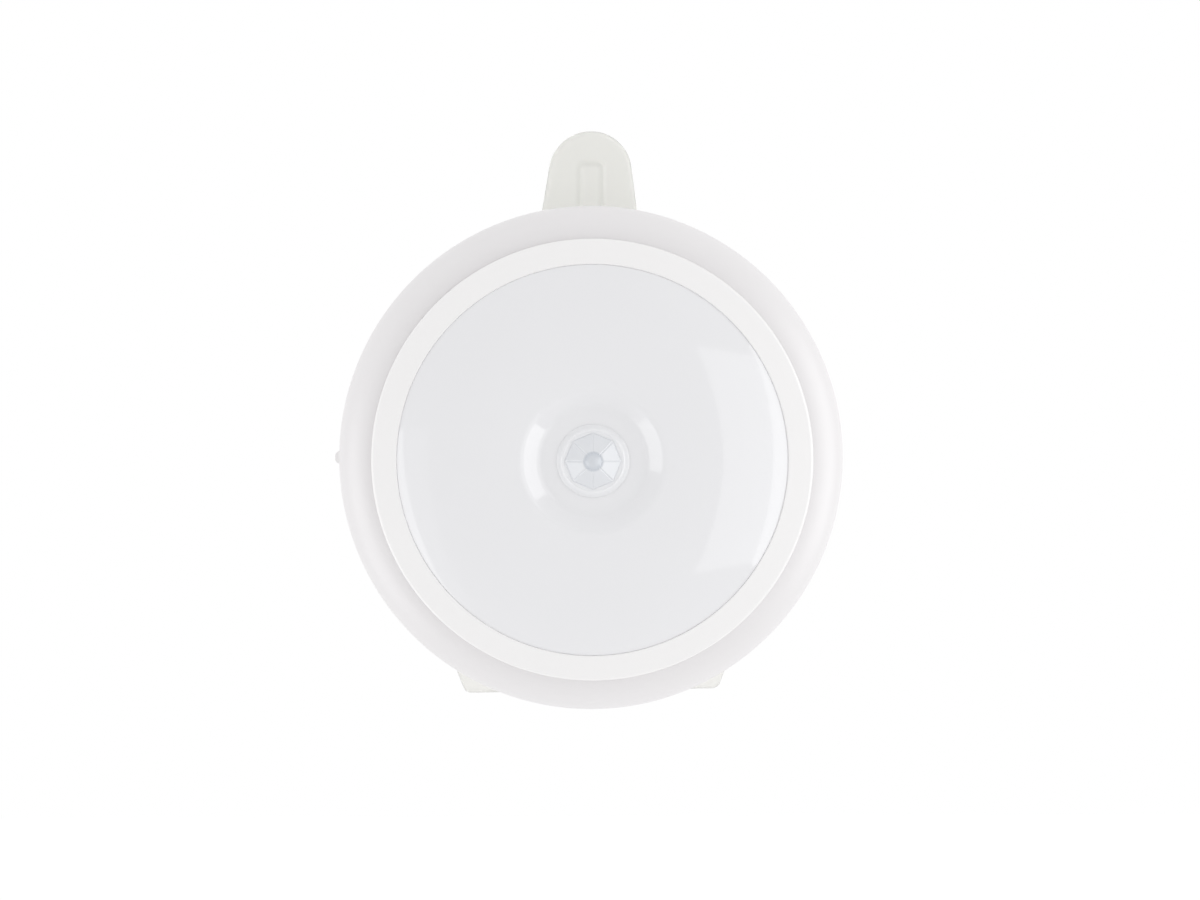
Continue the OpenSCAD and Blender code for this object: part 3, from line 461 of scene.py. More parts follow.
def back_height(x, y):
    """Back of the cup: the dish that is squeezed flat on the wall, its lip, and the tab's lift."""
    r = np.hypot(x, y)
    ball = (DISH_R ** 2 + DISH ** 2) / (2 * DISH)
    dish = DISH - ball + np.sqrt(np.maximum(ball ** 2 - np.minimum(r, DISH_R) ** 2, 0))
    return np.where(y > TAB_FROM, np.maximum(dish, TAB_Z * step(r, *TAB_RISE)), dish)


print("cup heights: hub", HUB_H, "mm, lip", LIP_T, "mm, tab", TAB_Z + TAB_T, "mm")

# %% Points that fill the plan
LIP_LOOPS = (0.04, 0.12, 0.24, 0.4)  # loops along the edge, by their distance from it
NECK_R, NECK_SIDES, HUB_SIDES = 4.0, 64, 96
HUB_RINGS = (7, 8.5, 9.6, 10, 10.4, 11, 12, 12.6, 13, 13.4, 14.5)  # the hub's edge, kept round
INNER_RINGS = ((1, 24), (2, 24), (3, 24), (4.8, 48), (5.8, 48))  # radius and points of the inmost rings
TAB_ROOT, ROW_STEP = 33.5, 0.866  # rows of a grid of even triangles lie 0.866 of its spacing apart
DISC_BOX, TAB_BOX = (-34, -40, 34, TAB_ROOT), (-11, TAB_ROOT, 11, 53)
ARCH_ROOM, ARCH_START = 0.7, 36.5  # the finest grid goes past the arch, and starts just below its foot
ARCH_BOX = (LEAN - ARCH_R - ARCH_ROOM, ARCH_START, LEAN + ARCH_R + ARCH_ROOM, ARCH_END + ARCH_ROOM)
DISC_GRID, TAB_GRID, ARCH_GRID = 0.9, 0.36, 0.18
DISC_CLEAR, TAB_CLEAR, ARCH_CLEAR, HUB_CLEAR = 1.0, 0.65, 0.2, 0.5  # kept free along edge, arch and hub


def circle(radius, sides):
    """Points of a circle round the axis."""
    a = np.arange(sides) * 2 * math.pi / sides
    return radius * np.column_stack((np.cos(a), np.sin(a)))


def offset_in(loop, distance):
    """The loop moved inwards by a distance; it runs anticlockwise."""
    along = np.roll(loop, -1, 0) - np.roll(loop, 1, 0)
    along /= np.linalg.norm(along, axis=1, keepdims=True)
    return loop + distance * np.column_stack((-along[:, 1], along[:, 0]))


def grid(spacing, box):
    """Points of even triangles over a box."""
    x0, y0, x1, y1 = box
    rows = []
    for i, y in enumerate(np.arange(y0, y1, spacing * ROW_STEP)):
        x = np.arange(x0 + (i % 2) * spacing / 2, x1, spacing)
        rows.append(np.column_stack((x, np.full(x.shape, y))))
    return np.concatenate(rows)


def from_edge(points, batches=40):
    """Distance of each point from the outline, worked out a batch at a time."""
    return np.concatenate([
        np.min(np.linalg.norm(batch[:, None] - outline[None], axis=2), axis=1)
        for batch in np.array_split(points, batches)
    ])


loops = [outline] + [offset_in(outline, distance) for distance in LIP_LOOPS]
loops += [circle(r, HUB_SIDES) for r in HUB_RINGS] + [circle(NECK_R, NECK_SIDES)]
arch_low, arch_high = np.reshape(ARCH_BOX, (2, 2))
on_tab = grid(TAB_GRID, TAB_BOX)
off_arch = ((on_tab < arch_low - ARCH_CLEAR) | (on_tab > arch_high + ARCH_CLEAR)).any(axis=1)
fill = np.concatenate([grid(DISC_GRID, DISC_BOX), on_tab[off_arch], grid(ARCH_GRID, ARCH_BOX)])
clear = np.where(fill[:, 1] < TAB_ROOT, DISC_CLEAR, TAB_CLEAR)
clear_of_hub = np.hypot(*fill.T) > HUB_RINGS[-1] + HUB_CLEAR
fill = fill[(plan_distance(*fill.T) < 0) & (from_edge(fill) > clear) & clear_of_hub]
fill = np.concatenate([fill] + [circle(r, sides) for r, sides in INNER_RINGS])
print("cup fill:", len(loops), "loops and", len(fill), "points between them")

# %% Triangles of the front and the back
EDGE = 0.4  # how far in from the edge the lip starts to round over
INSIDE, TOUCHING = 1, 1e-6  # the triangles that are kept, and how close two points are one

borders, start = [], 0
for loop in loops:
    borders += [(start + i, start + (i + 1) % len(loop)) for i in range(len(loop))]
    start += len(loop)
plan, _, triangles, came_from, _, _ = delaunay_2d_cdt(
    [Vector(p) for p in np.concatenate(loops + [fill])], borders,
    [list(range(len(outline)))], INSIDE, TOUCHING)
plan = np.array(plan)
on_edge = np.array([any(i < len(outline) for i in ids) for ids in came_from])
neck_first = start - NECK_SIDES
neck_of = {i: n for n, ids in enumerate(came_from) for i in ids if neck_first <= i < start}

lip = np.sqrt(1 - (1 - np.clip(from_edge(plan) / EDGE, 0, 1)) ** 2)
front, back = front_height(*plan.T), back_height(*plan.T)
half = (front + back) / 2
front_z, back_z = half + (front - half) * lip, half + (back - half) * lip
back_index = np.where(on_edge, np.arange(len(plan)), len(plan) + np.cumsum(~on_edge) - 1)
points = np.concatenate([
    np.column_stack((plan, front_z)), np.column_stack((plan, back_z))[~on_edge],
])
faces = []
for a, b, c in triangles:
    if np.hypot(*(plan[[a, b, c]].mean(0))) > NECK_R:
        faces.append((a, b, c))
    faces.append((back_index[c], back_index[b], back_index[a]))
print("cup plan:", len(plan), "points,", len(triangles), "triangles")

# %% Neck and button of the cup
BUTTON_R, NECK_TOP, BUTTON_TOP = 6, 8.05, 9.55
ROUND, TOP_ROUND, TOP_RINGS = 0.3, 0.7, (3, 1)  # rounded corners, and the rings on the flat top


def corner(before, at, after, radius, steps=6):
    """A profile's corner, rounded."""
    before, at, after = (np.array(p, float) for p in (before, at, after))
    u, w = (before - at) / np.linalg.norm(before - at), (after - at) / np.linalg.norm(after - at)
    t = np.linspace(0, 1, steps + 1)[:, None]
    p, q = at + u * radius, at + w * radius
    return (1 - t) ** 2 * p + 2 * t * (1 - t) * at + t ** 2 * q


root, throat, brim = (NECK_R, HUB_H), (NECK_R, NECK_TOP), (BUTTON_R, NECK_TOP)
crown, tip = (BUTTON_R, BUTTON_TOP), (0, BUTTON_TOP)
button = np.concatenate([
    corner(root, throat, brim, ROUND), corner(throat, brim, crown, ROUND),
    corner(brim, crown, tip, TOP_ROUND), [(r, BUTTON_TOP) for r in TOP_RINGS],
])
ring = [neck_of[neck_first + i] for i in range(NECK_SIDES)]
button_points = []
for r, z in button:
    following = len(points) + len(button_points)
    button_points += [(*spot, z) for spot in circle(r, NECK_SIDES)]
    new_ring = list(range(following, following + NECK_SIDES))
    for i in range(NECK_SIDES):
        j = (i + 1) % NECK_SIDES
        faces.append((ring[i], ring[j], new_ring[j], new_ring[i]))
    ring = new_ring
top = len(points) + len(button_points)
button_points.append((0, 0, BUTTON_TOP))
faces += [(ring[i], ring[(i + 1) % NECK_SIDES], top) for i in range(NECK_SIDES)]
points = np.concatenate([points, button_points])
print("button:", len(button_points), "points")


# %% The cup as one piece
def piece_of(name, points_mm, faces, material):
    """A smooth mesh piece at the origin, with its place in its mesh."""
    mesh = bpy.data.meshes.new(name)
    mesh.from_pydata(stand(points_mm).tolist(), [], [tuple(int(i) for i in f) for f in faces])
    mesh.validate()
    mesh.polygons.foreach_set("use_smooth", [True] * len(mesh.polygons))
    mesh.materials.append(material)
    return put(name, mesh)


THIN, THICK = 1.2, 3.0  # walls at which the PVC looks palest and deepest
cup = piece_of("soft_suction_cup", points, faces, soft_pvc)
wall = np.clip((front - back - THIN) / (THICK - THIN), 0, 1)
wall = np.concatenate([wall, wall[~on_edge], np.ones(len(button_points))])
cup.data.attributes.new("wall", "FLOAT", "POINT").data.foreach_set("value", wall)
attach(cup, "base")
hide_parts("suction_cup")
print("cup:", len(cup.data.vertices), "points,", len(cup.data.polygons), "faces")

# %% [markdown]
# ## Opal diffuser
# The dome is a turned shape, moulded in opal polycarbonate: a flat floor round the lens, a dimple
# with a straight flank that catches each soft box as one even crescent, a round crest and a wide
# dome. The solid of it has to keep clear of its neighbours, and its seam then looks like a black
# hairline. Here the same section is drawn finer, sits closer to the bezel and has a sharper edge,
# so the seam stays pale as it is between two white mouldings. The section is turned on a lathe.

# %% Section of the diffuser
Z_FLOOR, Z_CREST = 29.9, 31.5  # heights of the dimple's floor and of the crest round it
FLOOR_R, CREST_R, DOME_R, WALL = 7.6, 12.0, 44.0, 1.4  # ends of floor and flank, ball of the dome, wall
HOLE_R, FACE_R, EDGE_R, FLANGE_T = 5.61, 30.59, 0.12, 1  # the lens's hole, the face, its edge, the flange
HOLE_EDGE = ((0, -WALL), (0, -0.5), (0, -0.08), (0.03, -0.02), (0.09, 0))  # from the hole to the floor
SKIRT_TOP, FLANGE_ROUND = 0.3, 0.02  # the skirt's first point under the edge, and its turn to the flange
FLANK, FLOOR_RINGS = math.radians(28), (6.2, 6.9)
BEND_STEPS, DOME_STEPS, EDGE_STEPS = 12, 40, 5  # points of each arc
EDGE_FROM = 60  # degrees at which the arc of the edge starts
drop, span = Z_CREST - Z_FLOOR, CREST_R - FLOOR_R
bend_r = (span * math.tan(FLANK) - drop) / 2
bend_r /= math.sin(FLANK) * math.tan(FLANK) + math.cos(FLANK) - 1
dome_end = math.acos((FACE_R - EDGE_R - CREST_R) / (DOME_R - EDGE_R))


def arc(centre, radius, first, last, steps):
    """Points of a circle in the section; the angles count from the axis of r."""
    a = np.radians(np.linspace(first, last, steps))
    return np.column_stack((centre[0] + radius * np.cos(a), centre[1] + radius * np.sin(a)))


def skin_line(depth):
    """The section's line at a depth, from the floor of the dimple outwards to the dome's edge."""
    tilt = math.degrees(FLANK)
    return np.concatenate([
        arc((FLOOR_R, Z_FLOOR + bend_r), bend_r + depth, -90, -90 + tilt, BEND_STEPS),
        arc((CREST_R, Z_CREST - bend_r), bend_r - depth, 90 + tilt, 90, BEND_STEPS),
        arc((CREST_R, Z_CREST - DOME_R), DOME_R - depth, 90, math.degrees(dome_end), DOME_STEPS)[1:],
    ])


outer_line, inner_line = skin_line(0), skin_line(WALL)
flange_r = float(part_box("diffuser")[1][0]) / MM
shelf = -float(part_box("diffuser")[1][1]) / MM
edge_centre = (FACE_R - EDGE_R, outer_line[-1][1] - EDGE_R * math.sin(dome_end))
hole = [(HOLE_R + r, Z_FLOOR + z) for r, z in HOLE_EDGE]
skirt = [(FACE_R, edge_centre[1] - SKIRT_TOP), (FACE_R, shelf + FLANGE_T + FLANGE_ROUND)]
flange = [(FACE_R + FLANGE_ROUND, shelf + FLANGE_T), (flange_r, shelf + FLANGE_T), (flange_r, shelf)]
section = np.concatenate([
    hole, [(r, Z_FLOOR) for r in FLOOR_RINGS], outer_line,
    arc(edge_centre, EDGE_R, EDGE_FROM, 0, EDGE_STEPS),
    skirt, flange, [(FACE_R - WALL, shelf)],
    [p for p in inner_line[::-1] if p[0] < FACE_R - WALL],
])
print("diffuser section:", len(section), "points, bends of", round(bend_r, 2), "mm")

# %% Lathe
DOME_SIDES = 360


def turned_round(section, sides):
    """Points and faces of a closed section that is turned round the axis."""
    points = np.concatenate([
        np.column_stack((circle(r, sides), np.full(sides, z))) for r, z in section])
    count, faces = len(section), []
    for i in range(count):
        k = (i + 1) % count
        for j in range(sides):
            n = (j + 1) % sides
            faces.append((i * sides + j, k * sides + j, k * sides + n, i * sides + n))
    return points, faces


dome = piece_of("opal_diffuser", *turned_round(section, DOME_SIDES), opal)
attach(dome, "lamp")
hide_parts("diffuser")
print("diffuser:", len(dome.data.vertices), "points,", len(dome.data.polygons), "faces")

# %% [markdown]
# ## Faceted lens
# The motion sensor looks through a moulded lens: eight flat petals round a small eye, inside a
# rounded collar, with fine rings on the inside that gather the warmth of a passing hand. All
# eight petals are alike, so one eighth is modelled as a wedge, from the eye over the petal and
# the collar to the foot and back up the inside, and Geometry Nodes turn it eight times round the
# axis and weld the wedges to one closed shell. A point value called tone rides along and darkens
# the lens's colour: most at the eye and in the groove round it, less in the valleys between the
# petals, little on the petals and none on the collar. At the eye and on the petals it stands for
# the dark sensor that shows through; in the groove round the eye, in the valleys and in a line
# along the petals' rim it is painted shade.

# %% Outside of the lens
LENS_R, LENS_H, FACETS = 5.58, 2.4, 8
BALL = (LENS_R ** 2 + LENS_H ** 2) / (2 * LENS_H)  # radius of the ball that the petals are cut on
EYE_R, EYE_FOOT, EYE_H = 1.35, 2.2, 0.5  # the eye's radius, its edge's height, and its dome's on that
PETAL_IN, PETAL_OUT = 1.6, 3.97  # radii between which a petal shows flat
PETAL_SLOPE, PETAL_FALL = math.tan(math.radians(27)), 2.5  # its slope, and how much steeper it falls beyond
VALLEY_W, VALLEY_D, GROOVE_W, GROOVE_D = 0.10, 0.10, 0.35, 0.06  # widths and depths
COLLAR_R, COLLAR_H, COLLAR_IN, LIP_R = 4.75, 0.78, 0.7, 5.72  # its crest, reach inwards and outer edge
COLLAR_FOOT, COLLAR_LEVEL = 0.02, -0.25  # its lowest height, and where it levels out on the inside
EYE_TONE, EYE_EDGE_TONE, EYE_CORE, EYE_FADE = 0.38, 0.12, 0.75, 0.4  # it darkens outside its core
# Eye and petal tones stand for the dark sensor seen through; groove, valley and rim tones are painted
# shade.
PETAL_TONE, GROOVE_SHADE, VALLEY_SHADE, RIM_SHADOW = 0.19, 0.42, 0.26, 0.2
FACETS_R, RIM_W, RIM_DEEP = 4.2, 0.12, 0.3  # end of the petals' tones, and the painted shadow line along their rim
half_step = math.pi / FACETS


def ball_height(r):
    """Height of the ball over the floor of the dimple, at a radius."""
    return LENS_H - BALL + math.sqrt(BALL ** 2 - r ** 2)


def lens_top(rho, phi):
    """Height over the dimple's floor, and tone, of a point of the lens's outside; the tone is the dark
    sensor seen through, and painted shade in the groove, the valleys and along the rim.
    """
    if rho <= EYE_R:
        fade = float(np.clip((rho - EYE_CORE) / EYE_FADE, 0, 1))
        return EYE_FOOT + EYE_H * (1 - (rho / EYE_R) ** 2), EYE_TONE + EYE_EDGE_TONE * fade
    along, to_valley = rho * math.cos(phi), rho * math.sin(half_step - abs(phi))
    valley = math.exp(-(to_valley / VALLEY_W) ** 2)
    petal = ball_height(EYE_R) - PETAL_SLOPE * (along - EYE_R)
    petal -= VALLEY_D * valley + PETAL_FALL * max(along - PETAL_OUT, 0)
    petal -= GROOVE_D * max(0.0, 1 - (rho - EYE_R) / GROOVE_W)
    swell = (rho - COLLAR_R) / (COLLAR_IN if rho < COLLAR_R else LIP_R - COLLAR_R)
    bulge = 0.5 + 0.5 * math.cos(math.pi * min(max(swell, COLLAR_LEVEL), 1))
    collar = COLLAR_FOOT + (COLLAR_H - COLLAR_FOOT) * bulge
    rim_shadow_line = math.exp(-((along - PETAL_OUT - RIM_W) / RIM_W) ** 2)
    # The tone: dark sensor seen through on the petals, painted shade in the groove, the valleys and the
    # line along the rim.
    tone = max(
        PETAL_TONE if rho < FACETS_R and petal >= collar else 0,
        GROOVE_SHADE if rho < PETAL_IN else 0,
        VALLEY_SHADE * valley if rho < FACETS_R else 0,
        RIM_SHADOW * rim_shadow_line if petal > collar - RIM_DEEP else 0,
    )
    return max(petal, collar), tone


print("lens: ball of", round(BALL, 2), "mm, eye", round(lens_top(0, 0)[0], 2), "mm high")

# %% One eighth of the lens
RINGS = (  # first and last radius of each stretch of the outside, and the number of its rings
    (0.2, EYE_R, 10), (EYE_R + 0.03, PETAL_IN + 0.12, 7), (PETAL_IN + 0.2, 3.6, 18),
    (3.64, 4.5, 26), (4.54, LIP_R, 22),
)
ACROSS = 29  # points across the wedge, closer together at the valleys
FOOT_R, FOOT_TOP, FOOT, BORE_R, BORE_TOP = 6.85, -1.4, -2.4, 4.75, -0.2  # heights count from the floor
LENS_WALL, INNER_RADII = 0.8, (4.5, 0.2)  # the rings on the inside lie between two radii
RING_PITCH, RING_DEEP, RING_LEAN = 0.3, 0.1, 0.02  # real lenses have rings from 0.1 to 0.4 mm apart

rhos = np.concatenate([np.linspace(*stretch) for stretch in RINGS])
phis = half_step * np.sin(np.linspace(-1, 1, ACROSS) * math.pi / 2)
inner_profile = [
    (LIP_R - 0.01, 0.012), (LENS_R, 0.01), (LENS_R, -0.3), (LENS_R, FOOT_TOP), (FOOT_R, FOOT_TOP),
    (FOOT_R, FOOT), (BORE_R, FOOT), (BORE_R, BORE_TOP),
]
for r in np.arange(*INNER_RADII, -RING_PITCH):
    z = LENS_H - BALL + math.sqrt((BALL - LENS_WALL) ** 2 - r ** 2)
    inner_profile += [(r, z), (r - RING_LEAN, z + RING_DEEP)]

# Each point's tone: the dark sensor seen through, and painted shade in grooves, valleys and along the rim.
wedge, see_through_and_shade, wedge_faces = [], [], []
rows = [[(rho, *lens_top(rho, phi)) for phi in phis] for rho in rhos]
rows += [[(r, z, 0.0)] * ACROSS for r, z in inner_profile]
for row in rows:
    for (r, z, tone), phi in zip(row, phis):
        wedge.append((r * math.cos(phi + half_step), r * math.sin(phi + half_step), Z_FLOOR + z))
        see_through_and_shade.append(tone)
for i in range(len(rows) - 1):
    for k in range(i * ACROSS, (i + 1) * ACROSS - 1):
        wedge_faces.append((k, k + ACROSS, k + ACROSS + 1, k + 1))
first, last, bottom = len(wedge), len(wedge) + 1, (len(rows) - 1) * ACROSS
wedge += [(0, 0, Z_FLOOR + lens_top(0, 0)[0]), (0, 0, Z_FLOOR + inner_profile[-1][1])]
see_through_and_shade += [EYE_TONE, 0.0]
wedge_faces += [(first, k, k + 1) for k in range(ACROSS - 1)]
wedge_faces += [(last, bottom + k + 1, bottom + k) for k in range(ACROSS - 1)]
print("lens wedge:", len(wedge), "points")

# %% Milky polyethylene
# Thin polyethylene passes heat rays and blurs light: pale blue-white, a waxy gloss from the
# polished facets, and darker where it is thin and the dark sensor behind it shows, with painted
# shade in the grooves, the valleys and along the petals' rim.
WAX_CLOUD = 1.5 * MM
milky_lens, tree, place = new_material("milky_polyethylene")
clouds = add(tree, "ShaderNodeTexNoise", {"Vector": place, "Scale": 1 / WAX_CLOUD, "Detail": 3.0})
see_through_and_shade_map = add(tree, "ShaderNodeAttribute", attribute_name="tone")
waxy = add(tree, "ShaderNodeMix", {
    0: clouds, 6: linear("#F4F4F6"), 7: linear("#EFF0F2"),
}, data_type="RGBA")
# The dark blue-grey stands for the sensor seen through, and is painted shade in grooves, valleys and the
# rim line.
shade = add(tree, "ShaderNodeMix", {
    0: see_through_and_shade_map.outputs["Fac"], 6: waxy.outputs[2], 7: linear("#A5B0BE"),
}, data_type="RGBA")
skin = add(tree, "ShaderNodeBsdfPrincipled", {
    "Base Color": shade.outputs[2], "Roughness": 0.08, "IOR": 1.54,
})
add(tree, "ShaderNodeOutputMaterial", {"Surface": skin})
print("lens plastic:", milky_lens.name)


# %% Geometry Nodes: turn a wedge round the axis
def node_tree(name, sockets):
    """A Geometry Nodes tree with named inputs; returns the tree, its input node and identifiers."""
    tree = bpy.data.node_groups.new(name, "GeometryNodeTree")
    tree.interface.new_socket("Geometry", in_out="INPUT", socket_type="NodeSocketGeometry")
    known = {
        label: tree.interface.new_socket(label, in_out="INPUT", socket_type=kind).identifier
        for label, kind in sockets
    }
    tree.interface.new_socket("Geometry", in_out="OUTPUT", socket_type="NodeSocketGeometry")
    return tree, add(tree, "NodeGroupInput"), known


def end_tree(tree, given, shape):
    """Ends a tree with the shape, shaded smooth and in the material that the tree is given."""
    smooth = add(tree, "GeometryNodeSetShadeSmooth", {"Geometry": shape})
    dressed = add(tree, "GeometryNodeSetMaterial", {
        "Geometry": smooth, "Material": given.outputs["Material"],
    })
    add(tree, "NodeGroupOutput", {"Geometry": dressed})


def grown(piece, tree, known, values):
    """Runs a tree on a piece, with its inputs set by identifier, and keeps the plain mesh."""
    modifier = piece.modifiers.new(tree.name, "NODES")
    modifier.node_group = tree
    for label, value in values.items():
        modifier[known[label]] = value
    graph = bpy.context.evaluated_depsgraph_get()
    mesh = bpy.data.meshes.new_from_object(
        piece.evaluated_get(graph), preserve_all_data_layers=True, depsgraph=graph)
    piece.modifiers.clear()
    piece.data = mesh
    mesh.name = piece.name


turned, given, turned_inputs = node_tree("turned_wedges", [
    ("Wedges", "NodeSocketInt"), ("Weld", "NodeSocketFloat"), ("Material", "NodeSocketMaterial"),
])
spots = add(turned, "GeometryNodePoints", {"Count": given.outputs["Wedges"]})
number = add(turned, "GeometryNodeInputIndex")
share = add(turned, "ShaderNodeMath", {0: number, 1: given.outputs["Wedges"]}, operation="DIVIDE")
angle = add(turned, "ShaderNodeMath", {0: share, 1: 2 * math.pi}, operation="MULTIPLY")
turning = add(turned, "ShaderNodeCombineXYZ", {"Y": angle})
placed = add(turned, "GeometryNodeInstanceOnPoints", {
    "Points": spots, "Instance": given.outputs["Geometry"], "Rotation": turning,
})
real = add(turned, "GeometryNodeRealizeInstances", {0: placed})
welded = add(turned, "GeometryNodeMergeByDistance", {"Geometry": real, "Distance": given.outputs["Weld"]})
end_tree(turned, given, welded)

WELD = 0.002 * MM
lens = piece_of("faceted_lens", wedge, wedge_faces, milky_lens)
lens.data.attributes.new("tone", "FLOAT", "POINT").data.foreach_set("value", see_through_and_shade)
grown(lens, turned, turned_inputs, {"Wedges": FACETS, "Weld": WELD, "Material": milky_lens})
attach(lens, "lamp")
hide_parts("fresnel_lens")
print("lens:", len(lens.data.vertices), "points,", len(lens.data.polygons), "faces")

# %% [markdown]
# ## Plated metal
# Contact springs, terminal plates, screws, the sensor's can and the switch's frame are steel with
# a thin coat of nickel or zinc: a grey metal that is bright but not a mirror. Drawing and stamping
# leave a fine grain that stretches one way, so the grain gets a width for each direction, and
# handling leaves a gloss that wanders over a few millimetres. The function for the plastics makes
# them too, because a metal's skin also has clouds, a gloss and a grain.

# %% Plated steel
# Nickel gives a warm grey with a silky drawn shine, zinc a bluish one that is a little cloudier.
plated = {"clouds": 2.5, "patchy": 0.5, "Metallic": 1.0}
nickel = surface(
    "nickel_plated_steel", "#C9C2B8", "#BDB6AB",
    roughness=(0.29, 0.38), grain=((0.08, 0.8, 0.08), 0.002), **plated)
zinc = surface(
    "zinc_plated_steel", "#C6CACD", "#B6BABE",
    roughness=(0.28, 0.40), grain=((0.3, 0.3, 0.1), 0.002), **plated)
print("metals:", nickel.name, zinc.name)

# %% [markdown]
# ## Springs and leads
# Round wire follows a path everywhere inside: three conical springs press the cells on, and three
# insulated leads join the tray, the switch and the board. Geometry Nodes sweep one round section
# along each path, so a path is all that each of them needs. The springs are worked out as spirals
# that narrow towards the cell; the leads run smoothly through a few listed points, from
# solder joint to solder joint, the way they are laid round the tray when the light is put together.

# %% Geometry Nodes: round wire along a path
swept, given, swept_inputs = node_tree("round_wire", [
    ("Radius", "NodeSocketFloat"), ("Sides", "NodeSocketInt"), ("Material", "NodeSocketMaterial"),
])
course = add(swept, "GeometryNodeMeshToCurve", {"Mesh": given.outputs["Geometry"]})
round_section = add(swept, "GeometryNodeCurvePrimitiveCircle", {
    "Resolution": given.outputs["Sides"], "Radius": given.outputs["Radius"],
})
tube = add(swept, "GeometryNodeCurveToMesh", {
    "Curve": course, "Profile Curve": round_section, "Fill Caps": True,
})
real = add(swept, "GeometryNodeRealizeInstances", {0: tube})
end_tree(swept, given, real)


def wire(name, path_mm, radius_mm, sides, material, node):
    """A round wire along a path, in the place of a solid."""
    mesh = bpy.data.meshes.new(name)
    mesh.from_pydata(stand(path_mm).tolist(), [(i, i + 1) for i in range(len(path_mm) - 1)], [])
    piece = put(name, mesh)
    grown(piece, swept, swept_inputs, {"Radius": radius_mm * MM, "Sides": sides, "Material": material})
    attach(piece, "lamp")
    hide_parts(node)
    print(name + ":", len(piece.data.polygons), "faces")


print("trees:", turned.name, swept.name)

# %% Contact springs
CELL_PITCH, CELL_Z, SPRING_END, SPRING_L = 10.9, 15.15, 23.8, 3.0  # places of cells and springs
TURNS, TURN_POINTS, COIL_R, COIL_NARROWS = 3, 28, 3.2, 1.2  # first radius, and how much it narrows
SPRING_WIRE_R, SPRING_SIDES = 0.3, 12

rise = np.linspace(0, 1, TURNS * TURN_POINTS + 1)
coil_r, coil_a = COIL_R - COIL_NARROWS * rise, 2 * math.pi * TURNS * rise
coil = np.column_stack((coil_r * np.cos(coil_a), SPRING_L * rise - SPRING_END, coil_r * np.sin(coil_a)))
for cell, side, way in (("left", -1, 1), ("middle", 0, -1), ("right", 1, 1)):
    path = coil * (way, way, 1) + (side * CELL_PITCH, 0, CELL_Z)
    wire(f"contact_spring_{cell}", path, SPRING_WIRE_R, SPRING_SIDES, nickel,
         f"spring_{cell}")

# %% Leads
LEAD_R, LEAD_SIDES = 0.6, 16
PLUS_TAIL, MINUS_TAIL = np.array((-10.9, 27.25, 15.15)), np.array((10.9, -27.25, 15.15))
SWITCH_PIN, TRAY_CORNER = np.array((-27.537, 0, 14.35)), np.array((-17.55, 25.75, 14.35))


def through(points, steps=10):
    """A smooth curve through the points."""
    p = np.concatenate([points[:1], points, points[-1:]])
    t = np.linspace(0, 1, steps, endpoint=False)[:, None]
    spans = []
    for a, b, c, d in zip(p, p[1:], p[2:], p[3:]):
        bend, sway = 2 * a - 5 * b + 4 * c - d, 3 * b - a - 3 * c + d
        spans.append(0.5 * (2 * b + (c - a) * t + bend * t ** 2 + sway * t ** 3))
    return np.concatenate(spans + [points[-1:]])


positive_path = np.array([
    PLUS_TAIL + (0, 0.4, 1), PLUS_TAIL + (-0.5, 1, -0.5), PLUS_TAIL + (-2.9, 1.5, -2),
    TRAY_CORNER + (-0.6, 2, -1.5), TRAY_CORNER + (-4.4, -2.4, -1.5),
    SWITCH_PIN + (3.3, 16.8, -1.5), SWITCH_PIN + (2.1, 10.8, -1.5), SWITCH_PIN + (1.5, 6.6, -1),
    SWITCH_PIN + (1.3, 4.6, -0.2), SWITCH_PIN + (0.8, 4, 0),
])
switched_path = SWITCH_PIN + np.array([
    (0.8, 0, 0), (2.5, 0, 0.2), (3.9, 0, 1.2), (4.7, 0, 3), (4.9, 0, 5), (4.9, 0, 7.75),
])
negative_path = MINUS_TAIL + np.array([
    (0, -0.4, 0.6), (-0.2, -0.6, 2), (-1.9, -0.6, 3.2), (-4, 0, 4), (-4.5, 0.2, 5.2), (-4.5, 0.2, 6.9),
])
# PVC insulation, extruded round the wire: an even strong colour with a dull, rubbery shine.
red_pvc = surface(
    "red_lead_pvc", "#B4262C", "#A92027",
    roughness=(0.32, 0.44), clouds=4, grain=(0.25, 0.004), IOR=1.53)
black_pvc = surface(
    "black_lead_pvc", "#2B2B2D", "#252527",
    roughness=(0.34, 0.46), clouds=4, grain=(0.25, 0.004), IOR=1.53)
for name, path, insulation, slot in (
    ("positive", positive_path, red_pvc, "lead_red"),
    ("switched", switched_path, red_pvc, "lead_red"),
    ("negative", negative_path, black_pvc, "lead_black"),
):
    wire(f"{name}_lead", through(path), LEAD_R, LEAD_SIDES, insulation, f"lead_{name}")

# %% [markdown]
# ## Board, cells and small parts
# These are seen only with the light taken apart, and still each gets the skin of its kind: a white
# solder mask over woven glass with the bare laminate at the cut edge, cells in a plain film with
# plated ends, a black moulded chip with tinned legs, a can of aluminium on a black foot. Where one
# solid holds two materials, a mask along one axis parts them.

# %% Solids of two materials
TWO_PART_GRAIN_H = 0.004 * MM


